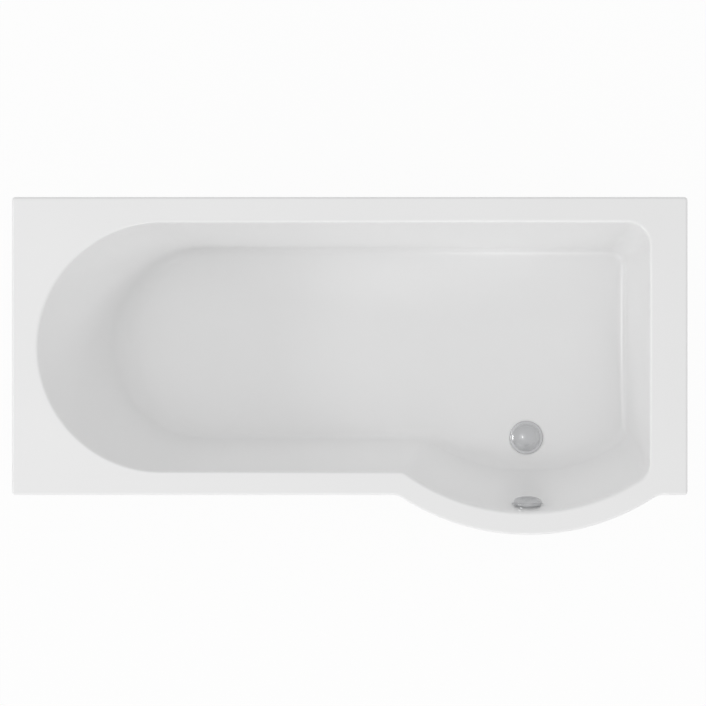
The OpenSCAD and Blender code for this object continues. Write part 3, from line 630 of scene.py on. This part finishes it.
def front_and_bow(head_x, front, radius, joint, end_turn=None):
    """From the head end along the straight front, through the joint and round the bow."""
    bow = bow_centre()
    rise = bow.y - front + joint
    reach = math.sqrt((radius + joint) ** 2 - rise ** 2)
    turn = math.degrees(math.atan2(rise, reach))
    return (line((head_x, front), (bow.x - reach, front), FRONT_STEPS)
            + arc((bow.x - reach, front - joint), joint, 90, turn, JOINT_STEPS)
            + arc(bow, radius, turn - 180, -90, BOW_STEPS)
            + arc(bow, radius, -90, -turn if end_turn is None else end_turn, BOW_STEPS))


def end_and_back(head_x, right, low, back, corner):
    """Up the shower end, round the back corner and along the back to the head end."""
    return (line((right, low), (right, back - corner), END_STEPS)
            + arc((right - corner, back - corner), corner, 0, 90, CORNER_STEPS)
            + line((right - corner, back), (head_x, back), BACK_STEPS))


def well_loop(right, back, front, bow_radius, head_x, head_length, rounds):
    """Outline of the well at one level, anticlockwise from the front's head end."""
    back_corner, side_corner, joint = rounds
    bow = bow_centre()
    side_x = right - side_corner
    side_y = bow.y - math.sqrt((bow_radius - side_corner) ** 2 - (side_x - bow.x) ** 2)
    side_turn = math.degrees(math.atan2(side_y - bow.y, side_x - bow.x))
    middle, half = (back + front) / 2, (back - front) / 2
    head = [math.radians(90 + 180 * k / ROUND_STEPS) for k in range(ROUND_STEPS)]
    return (front_and_bow(head_x, front, bow_radius, joint, side_turn)
            + arc((side_x, side_y), side_corner, side_turn, 0, CORNER_STEPS)
            + end_and_back(head_x, right, side_y, back, back_corner)
            + [Vector((head_x + head_length * math.cos(t), middle + half * math.sin(t))) for t in head])


def rim_loop(inset, head_x):
    """Outline of the rim's edge, moved in by a distance, with as many points as the well's."""
    right, back = SHELL_HIGH.x - inset, SHELL_HIGH.y - inset
    front = SHELL_HIGH.y - tub().straight_width + inset
    radius, joint, corner = tub().bow_radius - inset, RIM_JOINT + inset, RIM_CORNER - inset
    bow = bow_centre()
    rise = bow.y - front + joint
    reach = math.sqrt((radius + joint) ** 2 - rise ** 2)
    turn = math.degrees(math.atan2(rise, reach))
    return (front_and_bow(head_x, front, radius, joint)
            + arc((bow.x + reach, front - joint), joint, 180 - turn, 90, CORNER_STEPS // 2, whole=True)
            + arc((right - corner, front + corner), corner, -90, 0, CORNER_STEPS // 2)
            + end_and_back(head_x, right, front + corner, back, corner)
            + line((head_x, back), (-right + corner, back), SIDE_STEPS)
            + arc((-right + corner, back - corner), corner, 90, 180, TURN_STEPS)
            + line((-right, back - corner), (-right, front + corner), HEAD_STEPS)
            + arc((-right + corner, front + corner), corner, 180, 270, TURN_STEPS)
            + line((-right + corner, front), (head_x, front), SIDE_STEPS))


class TubShape:
    """The tub's outlines at the mouth and the floor, and the section of its wall at each point."""

    def __init__(self):
        size = tub()
        right, back = SHELL_HIGH.x - size.rim_foot, SHELL_HIGH.y - size.rim_back
        front = SHELL_HIGH.y - size.straight_width + size.rim_front
        bow, head, half = size.bow_radius - size.rim_bow, SHELL_LOW.x + size.rim_head, (back - front) / 2
        self.head_x = head + half
        self.mouth = well_loop(right, back, front, bow, self.head_x, half, MOUTH_ROUNDS)
        floor_right, floor_head = right - size.foot_run, head + size.head_run + size.head_round
        self.floor = well_loop(floor_right, back - size.back_run, front + size.front_run, bow - size.bow_run,
                               floor_head, size.head_round, FLOOR_ROUNDS)
        self.inward = [(floor - mouth).normalized() for mouth, floor in zip(self.mouth, self.floor)]
        self.top = SHELL_HIGH.z
        self.fall = size.fall / (floor_right - floor_head)
        self.count = len(self.mouth)

    def floor_at(self, point):
        """Height of the sloping floor at a point of the plan."""
        across = (point.y - WASTE.y) * CROSS_FALL
        return self.top - tub().depth + self.fall * (WASTE.x - point.x + across)

    def foot_radius(self, index):
        """Radius between wall and floor at one point of the outline."""
        along = index - (self.count - ROUND_STEPS)
        share = math.sin(math.pi * along / ROUND_STEPS) if along >= 0 else 0
        return tub().foot_radius + (tub().backrest_radius - tub().foot_radius) * share

    def slope(self, index):
        """Angle of the wall from level at one point of the outline."""
        run = (self.floor[index] - self.mouth[index]).length
        return math.atan2(self.top - self.floor_at(self.floor[index]), run)

    def section(self, index, start, high, low, lip, foot, lip_steps):
        """Points down the wall from the lip to the floor, at one point of the outline."""
        slope = self.slope(index)
        end = start + (high - low) / math.tan(slope)
        lip_at = start - lip * math.tan(slope / 2)
        foot_at = end + foot * math.tan(slope / 2)
        turns = [math.pi / 2 - slope * k / lip_steps for k in range(lip_steps + 1)]
        lips = [(lip_at + lip * math.cos(t), high - lip + lip * math.sin(t)) for t in turns]
        turns = [math.pi * 1.5 - slope + slope * k / FOOT_STEPS for k in range(FOOT_STEPS + 1)]
        feet = [(foot_at + foot * math.cos(t), low + foot + foot * math.sin(t)) for t in turns]
        last, first = Vector(lips[-1]), Vector(feet[0])
        wall = [tuple(last.lerp(first, share)) for share in WALL_SHARES]
        return [Vector((*(self.mouth[index] + self.inward[index] * away), height))
                for away, height in lips + wall + feet]

    def top_section(self, index):
        """Points down the wall's face."""
        floor = self.floor_at(self.floor[index])
        return self.section(index, 0, self.top, floor, tub().lip_radius, self.foot_radius(index), LIP_STEPS)

    def under_section(self, index):
        """Points down the wall's back, square to the face by the shell's thickness."""
        thickness = tub().thickness
        start = -thickness * math.tan(self.slope(index) / 2)
        lip = tub().lip_radius - thickness + LIP_SPARE
        foot = self.foot_radius(index) + thickness
        return self.section(index, start, self.top - thickness, SHELL_LOW.z, lip, foot, UNDER_LIP_STEPS)

    def on_floor(self, points, step):
        """Points moved inwards by a step, on the floor."""
        moved = [point.xy + inward * step for point, inward in zip(points, self.inward)]
        return [Vector((point.x, point.y, self.floor_at(point))) for point in moved]


def tub_rings():
    """Rings of the tub's skin from the floor up the wall, over the rim and back underneath."""
    size, shape = tub(), TubShape()
    tops = [shape.top_section(index) for index in range(shape.count)]
    unders = [shape.under_section(index) for index in range(shape.count)]
    feet, lips = [section[-1] for section in tops], [section[0] for section in tops]
    rings = [shape.on_floor(feet, step * FLOOR_STEP) for step in (2, 1, 0)]
    rings += [[section[k] for section in tops] for k in range(len(tops[0]) - 2, -1, -1)]
    outer = raised(rim_loop(size.edge_radius, shape.head_x), shape.top)
    rings += [[lip.lerp(edge, share) for lip, edge in zip(lips, outer)] for share in RIM_SHARES]
    for k in range(EDGE_STEPS, -1, -1):
        turn = math.pi / 2 * k / EDGE_STEPS
        rings.append(raised(rim_loop(size.edge_radius * (1 - math.cos(turn)), shape.head_x),
                            shape.top - size.edge_radius * (1 - math.sin(turn))))
    skirt = shape.top - SKIRT_HEIGHT
    rings.append(raised(rim_loop(0, shape.head_x), skirt))
    rings.append(raised(rim_loop(RETURN_WALL, shape.head_x), skirt))
    back_from = len(rings)
    rings.append(raised(rim_loop(RETURN_WALL, shape.head_x), shape.top - size.thickness))
    rings += [[section[k] for section in unders] for k in range(len(unders[0]))]
    return rings, back_from


# The overflow: radius of its flat seat and its hole, and thickness of the pad behind them
OVERFLOW_SEAT, OVERFLOW_HOLE, OVERFLOW_PAD = 0.040, 0.027, 0.003
# The waste: radius of its sunk seat and its hole, and depth of the seat
WASTE_SEAT, WASTE_HOLE, WASTE_STEP = 0.043, 0.026, 0.001
# How far a cut runs past the tub, and past a fitting
TUB_CUT_PAST, FITTING_CUT_PAST = 0.020, 1 * MM


class SHOWER_OT_tub(bpy.types.Operator):
    """The moulded tub, with its waste and overflow holes"""

    bl_idname = "shower.tub"
    bl_label = "Tub"

    def execute(self, context):
        rings, back_from = tub_rings()
        bm = bmesh.new()
        ring = first_ring(bm, rings[0])
        bmesh.ops.contextual_create(bm, geom=edges_of(bm, ring))
        for points in rings[1:back_from]:
            ring = next_ring(bm, ring, points)
        face_side = set(bm.faces)
        for points in rings[back_from:]:
            ring = next_ring(bm, ring, points)
        bmesh.ops.contextual_create(bm, geom=edges_of(bm, ring))
        for face in bm.faces:
            face.material_index = 0 if face in face_side else 1
        bmesh.ops.recalc_face_normals(bm, faces=bm.faces)
        piece = add_piece("tub_shell", "bath_shell", bm, "tub", "white_acrylic", "laminate")
        back, place = -tub().thickness, at_overflow()
        seat = SHELL_HIGH.z - tub().depth - WASTE_STEP
        cut_with(piece, [disc(OVERFLOW_SEAT, back, back + OVERFLOW_PAD, place)], "UNION")
        cut_with(piece, [
            disc(WASTE_SEAT, seat, seat + TUB_CUT_PAST, at_waste()),
            disc(WASTE_HOLE, SHELL_LOW.z - TUB_CUT_PAST, seat + TUB_CUT_PAST, at_waste()),
            disc(OVERFLOW_SEAT, 0, TUB_CUT_PAST, place),
            disc(OVERFLOW_HOLE, -TUB_CUT_PAST, TUB_CUT_PAST, place),
        ])
        return {"FINISHED"}


# The plug's stem: its radius, the chamfer at its end and its clearance in the guide
STEM, STEM_CHAMFER, STEM_CLEARANCE = 4 * MM, 0.6 * MM, 0.2 * MM
# Heights of the plug's underside, its lip and its dome's edge over the seal's underside, and the lip's width
PLUG_UNDER, PLUG_LIP_UP, PLUG_EDGE_UP, PLUG_LIP = 1 * MM, 2.1 * MM, 2.5 * MM, 0.6 * MM
# The seal's groove: its sides, in from the plug's edge, and its depth
GROOVE_INNER, GROOVE_OUTER, GROOVE_DEPTH = 7.2 * MM, 1.8 * MM, 1.5 * MM
DOME_STEPS = 28
# The flange: its tail's radii and the width of its flat lip
TAIL_INNER, TAIL_OUTER, FLANGE_LIP = 21.5 * MM, 24 * MM, 9 * MM
# The boss that guides the stem: its radius, height over the tail's end, length and rounding
BOSS, BOSS_UP, BOSS_TALL, BOSS_ROUNDING = 7 * MM, 2 * MM, 20 * MM, 0.8 * MM
# The grid: its height over the boss's end, its thickness, and its holes' radius and count
GRID_UP, GRID_THICK, GRID_HOLE, GRID_HOLES = 4 * MM, 3 * MM, 4.6 * MM, 6


def plug_profile():
    """Half a section of the plug: stem, groove for the seal and dome."""
    foot, crown = (corner.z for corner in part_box("plug"))
    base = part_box("plug_seal")[0].z
    radius, under = fittings().plug_diameter / 2, base + PLUG_UNDER
    rise = crown - base - PLUG_EDGE_UP
    dome = (radius ** 2 + rise ** 2) / (2 * rise)
    span = math.asin(radius / dome)
    inner, outer, roof = radius - GROOVE_INNER, radius - GROOVE_OUTER, under + GROOVE_DEPTH
    lip = [(radius - PLUG_LIP, under), (radius - 0.25 * PLUG_LIP, under + 0.5 * MM),
           (radius, base + PLUG_LIP_UP)]
    turns = [span * (1 - k / DOME_STEPS) for k in range(1, DOME_STEPS + 1)]
    return [
        (0, foot), (STEM - STEM_CHAMFER, foot), (STEM, foot + STEM_CHAMFER), (STEM, under),
        (inner, under), (inner, roof), (outer, roof), (outer, under), *lip,
        *((dome * math.sin(turn), crown - dome + dome * math.cos(turn)) for turn in turns)]


class SHOWER_OT_waste(bpy.types.Operator):
    """The chrome plug, and the waste flange with its guide and grid"""

    bl_idname = "shower.waste"
    bl_label = "Waste"

    def execute(self, context):
        add_piece("pop_up_plug", "plug", turned(plug_profile(), at_waste()), "plug", "chrome")

        low, high = (corner.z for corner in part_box("waste_flange"))
        edge, seat = fittings().flange_diameter / 2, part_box("flange_gasket")[1].z
        profile = rounded([
            (edge, seat), (edge, high, 0.9 * MM), (edge - FLANGE_LIP, high, 1.2 * MM),
            (TAIL_OUTER + 1 * MM, seat + 0.8 * MM, 1.2 * MM), (TAIL_INNER, seat - 1 * MM),
            (TAIL_INNER, low, 0.5 * MM), (TAIL_OUTER, low, 0.5 * MM), (TAIL_OUTER, seat)])
        piece = add_piece("waste_flange_ring", "waste_flange", turned(profile, at_waste(), closed=True),
                          "tub", "chrome")
        boss_low, boss_high = low + BOSS_UP, low + BOSS_UP + BOSS_TALL
        grid_low, grid_high = boss_low + GRID_UP, boss_low + GRID_UP + GRID_THICK
        boss = rounded([(0, boss_low), (BOSS, boss_low, BOSS_ROUNDING), (BOSS, boss_high, BOSS_ROUNDING),
                        (0, boss_high)])
        cut_with(piece, [disc((TAIL_INNER + TAIL_OUTER) / 2, grid_low, grid_high, at_waste()),
                         cutter(boss, at_waste())], "UNION")
        stem_hole = disc(STEM + STEM_CLEARANCE, boss_low - FITTING_CUT_PAST, boss_high + FITTING_CUT_PAST,
                         at_waste())
        holes = [disc(GRID_HOLE, grid_low - FITTING_CUT_PAST, grid_high + FITTING_CUT_PAST, place)
                 for place in spread_round(at_waste(), GRID_HOLES, (BOSS + TAIL_INNER) / 2, 0.5)]
        cut_with(piece, [stem_hole, *holes])
        return {"FINISHED"}


# The knob: heights over the tub's wall of its back edge, its hub's end and its front
KNOB_BACK, HUB_BACK, KNOB_FRONT = 4 * MM, 5.5 * MM, 15 * MM
# The thickness of its front, its side and its hub, the depth of its rounded edge, and its spindle's radius
KNOB_ROOF, KNOB_WALL, HUB_WALL, KNOB_EDGE, SPINDLE = 3 * MM, 3 * MM, 4 * MM, 4 * MM, 5 * MM


class SHOWER_OT_overflow(bpy.types.Operator):
    """The round overflow knob on the well's wall"""

    bl_idname = "shower.overflow"
    bl_label = "Overflow knob"

    def execute(self, context):
        radius = fittings().knob_diameter / 2
        hollow, hub = radius - KNOB_WALL, SPINDLE + HUB_WALL
        inside, roof = KNOB_FRONT - KNOB_EDGE, KNOB_FRONT - KNOB_ROOF
        profile = rounded([
            (0, KNOB_FRONT), (radius - KNOB_EDGE, KNOB_FRONT - 0.6 * MM, 6 * MM),
            (radius - 1.2 * MM, KNOB_FRONT - 2 * MM, 2 * MM), (radius, inside, 2 * MM),
            (radius, KNOB_BACK, 0.8 * MM), (hollow, KNOB_BACK, 0.8 * MM), (hollow, inside, 1 * MM),
            (hub, inside, 1 * MM), (hub, HUB_BACK), (SPINDLE, HUB_BACK), (SPINDLE, roof), (0, roof)])
        add_piece("overflow_turn_knob", "overflow_knob", turned(profile, at_overflow()), "knob", "chrome")
        return {"FINISHED"}


# The hose and the cable: where they leave the overflow, in its own axes, and where they meet the waste
HOSE_START, WASTE_SPIGOT = Vector((0, 53 * MM, -27 * MM)), Vector((0, -55 * MM, 105 * MM))
CABLE_START, CABLE_END_SIDE = Vector((22 * MM, 33 * MM, -27 * MM)), 25.8 * MM
# How strongly each curve holds its heading at its ends
HOSE_REACH, CABLE_REACH = 0.078, 0.095
CABLE_STRAIGHT, CABLE_STEPS, CABLE_SIDES = 0.030, 96, 20
# One rib: shares of its depth at equal steps
HOSE_RIBS, RIB_DEPTH, RIB_SHAPE = 77, 1.5 * MM, (0.0, 0.0, 0.35, 1.0, 1.0, 0.35)
# The bore is plain, so it needs fewer rings than the ribs
HOSE_SIDES, BORE_EVERY = 40, 3


def bezier(start, one, two, end, share):
    """A point on a cubic curve."""
    left = 1 - share
    return left ** 3 * start + 3 * left ** 2 * share * one + 3 * left * share ** 2 * two + share ** 3 * end


def route(start, end, straight, reach, steps):
    """Points of a smooth run that leaves the overflow down the wall and comes home towards the waste."""
    one, two = start + DOWN_WALL * straight, end - Y_AXIS * straight
    pulls = one + DOWN_WALL * reach, two - Y_AXIS * reach
    return [start, *(bezier(one, *pulls, two, k / steps) for k in range(steps + 1)), end]


def headings(path):
    """Direction of a route at each of its points, true at both ends."""
    inner = [(path[k + 1] - path[k - 1]).normalized() for k in range(1, len(path) - 1)]
    return [DOWN_WALL, *inner, Y_AXIS]


def ring_round(point, along, radius, sides):
    """A circle round a route's point, square to its direction."""
    side = (X_AXIS - along.x * along).normalized()
    other = side.cross(along)
    turns = [math.tau * k / sides for k in range(sides)]
    return [point + radius * (math.cos(turn) * side + math.sin(turn) * other) for turn in turns]


def tube(rings, open_ends=False):
    """A skin along rings, with its ends filled unless they stay open."""
    bm = bmesh.new()
    ring = first_ring(bm, rings[0])
    for points in rings[1:]:
        ring = next_ring(bm, ring, points)
    if not open_ends:
        bmesh.ops.holes_fill(bm, edges=bm.edges[:], sides=0)
    clean_faces(bm)
    return bm


class SHOWER_OT_hose(bpy.types.Operator):
    """The ribbed overflow hose and the control cable beside it"""

    bl_idname = "shower.hose"
    bl_label = "Hose and cable"

    def execute(self, context):
        outer, bore = fittings().hose_diameter / 2, fittings().hose_bore / 2
        path = route(at_overflow() @ HOSE_START, WASTE + WASTE_SPIGOT, 2 * outer, HOSE_REACH,
                     HOSE_RIBS * len(RIB_SHAPE))
        along = headings(path)
        depths = [RIB_SHAPE[(k - 1) % len(RIB_SHAPE)] * RIB_DEPTH for k in range(len(path))]
        depths[0] = depths[1] = depths[-2] = depths[-1] = 0
        outside = [ring_round(p, t, outer - d, HOSE_SIDES) for p, t, d in zip(path, along, depths)]
        inside = [ring_round(p, t, bore, HOSE_SIDES) for p, t in list(zip(path, along))[::-BORE_EVERY]]
        if (len(path) - 1) % BORE_EVERY:
            inside.append(ring_round(path[0], along[0], bore, HOSE_SIDES))
        # The bore's last ring runs back into the first ring outside, which closes the wall
        wall = tube([*outside, *inside, outside[0]], open_ends=True)
        add_piece("ribbed_overflow_hose", "overflow_hose", wall, "tub", "white_hose")

        low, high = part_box("control_cable")
        radius = fittings().cable_diameter / 2
        end = Vector((WASTE.x + CABLE_END_SIDE, high.y, low.z + radius))
        path = route(at_overflow() @ CABLE_START, end, CABLE_STRAIGHT, CABLE_REACH, CABLE_STEPS)
        rings = [ring_round(p, t, radius, CABLE_SIDES) for p, t in zip(path, headings(path))]
        add_piece("cable_sheath_run", "control_cable", tube(rings), "tub", "cable_sheath")
        return {"FINISHED"}


# A leg's thread: its depth, and one turn of it as shares of the depth under the crest and of the pitch
THREAD_DEPTH = 0.8 * MM
THREAD_SHAPE = ((1, 0), (1, 0.15), (0, 0.45), (0, 0.55), (1, 0.85), (1, 1))
# A stud's plain ends: their length and chamfer, how far the chamfer goes under the thread's root,
# their own depth under the crest as a share of the thread's, and how far the lower one runs in, in pitches
PLAIN_END, PLAIN_CHAMFER, PLAIN_TIP_UNDER, PLAIN_UNDER, PLAIN_IN = 2 * MM, 1 * MM, 0.4 * MM, 0.6, 1.2
THREAD_STEPS, PLAIN_END_STEPS, THREAD_TOUCHING = 24, 48, 2e-5
# A foot's grips: count, radius, how far their middles lie outside it, and lowest and highest point
GRIPS, GRIP, GRIP_OUT, GRIP_LOW, GRIP_HIGH = 12, 2.4 * MM, 1.2 * MM, 2 * MM, 12 * MM
FOOT_SPIN_STEPS = 64


def thread_into(bm, place, radius, low, high, pitch):
    """A screw thread between two heights, with plain chamfered ends."""
    turns = int((high - low - 2 * PLAIN_END) / pitch)
    first = low + PLAIN_END
    verts = [bm.verts.new((radius - under * THREAD_DEPTH, 0, first + share * pitch))
             for under, share in THREAD_SHAPE]
    edges = [bm.edges.new(pair) for pair in zip(verts, verts[1:])]
    bmesh.ops.spin(bm, geom=verts + edges, cent=(0, 0, 0), axis=(0, 0, 1), angle=math.tau, steps=THREAD_STEPS,
                   dvec=(0, 0, pitch / THREAD_STEPS), use_merge=False)
    one_turn = bm.verts[:] + bm.edges[:] + bm.faces[:]
    for turn in range(1, turns):
        made = bmesh.ops.duplicate(bm, geom=one_turn)["geom"]
        copied = [item for item in made if isinstance(item, bmesh.types.BMVert)]
        bmesh.ops.translate(bm, verts=copied, vec=(0, 0, turn * pitch))
    bmesh.ops.remove_doubles(bm, verts=bm.verts[:], dist=THREAD_TOUCHING)
    bmesh.ops.transform(bm, matrix=place, verts=bm.verts[:])
    top, bottom = first + turns * pitch, first + PLAIN_IN * pitch
    plain, tip = radius - THREAD_DEPTH * PLAIN_UNDER, radius - THREAD_DEPTH - PLAIN_TIP_UNDER
    ends = [[(0, low), (tip, low), (plain, low + PLAIN_CHAMFER), (plain, bottom), (0, bottom)],
            [(0, top), (plain, top), (plain, high - PLAIN_CHAMFER), (tip, high), (0, high)]]
    for profile in ends:
        spin_into(bm, profile, place, PLAIN_END_STEPS)


def foot_profile(radius, tall, stud, stud_low):
    """Half a section of a foot: its pad, its sloping top and the socket that holds the stud."""
    return rounded([
        (0, 0), (radius - 1 * MM, 0, 0.6 * MM), (radius, 1 * MM), (radius, 6 * MM, 1.2 * MM),
        (radius - 4 * MM, 9 * MM, 3 * MM), (stud + 7 * MM, 14 * MM, 3 * MM), (stud + 5 * MM, tall - 1 * MM),
        (stud + 4 * MM, tall, 0.4 * MM), (stud, tall), (stud, stud_low), (0, stud_low)])


class SHOWER_OT_legs(bpy.types.Operator):
    """The threaded legs and their plastic feet"""

    bl_idname = "shower.legs"
    bl_label = "Legs"

    def execute(self, context):
        for number in range(1, LEG_COUNT + 1):
            stud, foot, body = f"leg_stud_{number}", f"foot_{number}", f"leg_{number}"
            low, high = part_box(stud)
            place, stud_radius = Matrix.Translation(middle_of(stud)), (high.x - low.x) / 2
            bm = bmesh.new()
            thread_into(bm, place, stud_radius, low.z, high.z, fittings().thread_pitch)
            bmesh.ops.recalc_face_normals(bm, faces=bm.faces)
            add_piece(f"threaded_leg_{number}", stud, bm, body, "zinc_plated_steel")
            foot_low, foot_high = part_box(foot)
            radius = (foot_high.x - foot_low.x) / 2
            profile = foot_profile(radius, foot_high.z, stud_radius, low.z)
            piece = add_piece(f"levelling_foot_{number}", foot, turned(profile, place, FOOT_SPIN_STEPS), body,
                              "foot_plastic")
            cut_with(piece, [disc(GRIP, GRIP_LOW, GRIP_HIGH, at)
                             for at in spread_round(place, GRIPS, radius + GRIP_OUT)])
        return {"FINISHED"}


CAD_FINISHES = {
    "chipboard": ["baseboard"],
    "timber": ["batten_back", "batten_front", "batten_bow"],
    "end_timber": ["batten_head", "batten_foot"],
    "galvanised_steel": ["rail_head", "rail_foot", "centre_leg_plate", "wall_bracket_1", "wall_bracket_2"],
    "zinc_plated_steel": ["rail_screws", "plate_screws", "upper_leg_nuts", "lower_leg_nuts", "bracket_screws",
                          "lever_pin", "overflow_screws"],
    "chrome": ["overflow_face"],
    "seal_rubber": ["waste_gasket", "overflow_gasket", "plug_seal"],
    "fitting_plastic": ["waste_body", "overflow_body", "waste_lever", "waste_hose_nut", "overflow_hose_nut",
                        "flange_gasket"],
    "brass": ["knob_spindle", "cable_nuts"],
}


class SHOWER_OT_finishes(bpy.types.Operator):
    """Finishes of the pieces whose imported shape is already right"""

    bl_idname = "shower.finishes"
    bl_label = "Finishes"

    def execute(self, context):
        for finish, names in CAD_FINISHES.items():
            for name in names:
                materials = NODES[name].data.materials
                if not materials:
                    materials.append(None)
                for index in range(len(materials)):
                    materials[index] = finish_of(finish)
        return {"FINISHED"}


# Stage

CAMERA_LENS = 912.0
CAMERA_PLACE = (0.0082, 0.0325, 45.55)
CAMERA_CLIP = 100.0
# The floor: its size, how far it lies under the feet, its colour, and how much of it the camera sees as white
FLOOR_SIZE = 60.0
FLOOR_DROP = 0.0002
FLOOR_COLOUR, FLOOR_ROUGHNESS = (0.82, 0.82, 0.82, 1), 0.8
FLOOR_GLOW_SHARE = 0.95
LAMP_AIM = (0.0, 0.0, 0.4)
# Each lamp's place, its size and its power
LAMPS = {
    "lamp_front": ((0.45, -9.0, 5.85), (2.0, 0.9), 85.0),
    "lamp_left": ((-9.0, 0.0, 5.2), (2.0, 1.2), 100.0),
    "lamp_front_left": ((-6.4, -6.4, 5.6), (1.2, 1.2), 90.0),
    "lamp_front_right": ((4.7, -7.7, 5.85), (1.2, 0.9), 45.0),
    "lamp_top": ((-1.3, 0.1, 8.5), (0.3, 0.3), 5.0),
}
# The room's own light: from all round, more of it from the front, and more of it from above
ROOM_LIGHT = 0.45
ROOM_LIGHT_FRONT = 0.055
ROOM_LIGHT_TOP = 0.30


def floor_material():
    """A plain pale floor: it keeps the tub's shadow, and to the camera it is white."""
    material = bpy.data.materials.new("pale floor")
    material.use_nodes = True
    tree = material.node_tree
    shader = tree.nodes["Principled BSDF"]
    shader.inputs["Base Color"].default_value = FLOOR_COLOUR
    shader.inputs["Roughness"].default_value = FLOOR_ROUGHNESS
    path = add_node(tree, "LightPath").outputs
    mirrored = maths(tree, "MAXIMUM", path["Is Glossy Ray"], path["Is Transmission Ray"])
    seen = maths(tree, "MAXIMUM", path["Is Camera Ray"], mirrored)
    mix = add_node(tree, "MixShader", Fac=maths(tree, "MULTIPLY", seen, FLOOR_GLOW_SHARE))
    fill(tree, mix.inputs[1], shader.outputs["BSDF"])
    fill(tree, mix.inputs[2], add_node(tree, "Emission", Strength=1).outputs["Emission"])
    fill(tree, tree.nodes["Material Output"].inputs["Surface"], mix.outputs["Shader"])
    return material


def room_light():
    """Neutral light from all round, brighter towards the front and towards the top."""
    world = bpy.data.worlds.new("room")
    world.use_nodes = True
    tree = world.node_tree
    where = add_node(tree, "TexCoord").outputs["Generated"]
    split = add_node(tree, "SeparateXYZ", Vector=where).outputs
    front = add_node(tree, "MapRange", Value=split["Y"], From_Min=1, From_Max=-1, To_Min=ROOM_LIGHT,
                     To_Max=ROOM_LIGHT + ROOM_LIGHT_FRONT)
    top = add_node(tree, "MapRange", Value=split["Z"], To_Max=ROOM_LIGHT_TOP)
    background = tree.nodes["Background"].inputs
    fill(tree, background["Color"], (1, 1, 1, 1))
    fill(tree, background["Strength"], maths(tree, "ADD", front.outputs["Result"], top.outputs["Result"]))
    return world


class SHOWER_OT_stage(bpy.types.Operator):
    """The floor, the lamps, the surroundings and the camera"""

    bl_idname = "shower.stage"
    bl_label = "Stage"

    def execute(self, context):
        scene = context.scene
        bm = bmesh.new()
        bmesh.ops.create_grid(bm, x_segments=1, y_segments=1, size=FLOOR_SIZE / 2,
                              matrix=Matrix.Translation((0, 0, -FLOOR_DROP)))
        mesh = bpy.data.meshes.new("floor")
        bm.to_mesh(mesh)
        bm.free()
        mesh.materials.append(floor_material())
        floor = bpy.data.objects.new("floor", mesh)
        scene.collection.objects.link(floor)
        for name, (place, size, power) in LAMPS.items():
            data = bpy.data.lights.new(name, "AREA")
            data.shape = "RECTANGLE"
            data.size, data.size_y, data.energy = *size, power
            lamp = bpy.data.objects.new(name, data)
            lamp.location = place
            lamp.rotation_euler = (Vector(LAMP_AIM) - Vector(place)).to_track_quat("-Z", "Y").to_euler()
            scene.collection.objects.link(lamp)
        scene.world = room_light()
        data = bpy.data.cameras.new("camera")
        data.lens, data.clip_end = CAMERA_LENS, CAMERA_CLIP
        camera = bpy.data.objects.new("camera", data)
        camera.location = CAMERA_PLACE
        scene.collection.objects.link(camera)
        scene.camera = camera
        scene.view_settings.view_transform = "Standard"
        return {"FINISHED"}


STEPS = [SHOWER_OT_tub, SHOWER_OT_waste, SHOWER_OT_overflow, SHOWER_OT_hose, SHOWER_OT_legs,
         SHOWER_OT_finishes, SHOWER_OT_stage]


class SHOWER_PT_panel(bpy.types.Panel):
    """The steps that build the shower bath, and its sizes and colours"""

    bl_idname = "SHOWER_PT_panel"
    bl_label = "Shower bath"
    bl_space_type = "VIEW_3D"
    bl_region_type = "UI"
    bl_category = "Shower bath"

    def draw(self, context):
        for step in STEPS:
            self.layout.operator(step.bl_idname)
        for values in (tub(), fittings(), colours()):
            for key in values.bl_rna.properties.keys():
                if key not in {"rna_type", "name"}:
                    self.layout.prop(values, key)


VALUES = {"tub_sizes": TubSizes, "fitting_sizes": FittingSizes, "finish_colours": FinishColours}


def register():
    """Makes the classes and the scene's values known."""
    for item in (*VALUES.values(), *STEPS, SHOWER_PT_panel):
        bpy.utils.register_class(item)
    for name, values in VALUES.items():
        setattr(bpy.types.Scene, name, PointerProperty(type=values))


def unregister():
    """Takes the classes and the scene's values out again."""
    for name in VALUES:
        delattr(bpy.types.Scene, name)
    for item in (SHOWER_PT_panel, *reversed(STEPS), *VALUES.values()):
        bpy.utils.unregister_class(item)


def main():
    """Builds every piece and the stage."""
    register()
    bpy.ops.shower.tub()
    bpy.ops.shower.waste()
    bpy.ops.shower.overflow()
    bpy.ops.shower.hose()
    bpy.ops.shower.legs()
    bpy.ops.shower.finishes()
    bpy.ops.shower.stage()


if __name__ == "__main__":
    main()
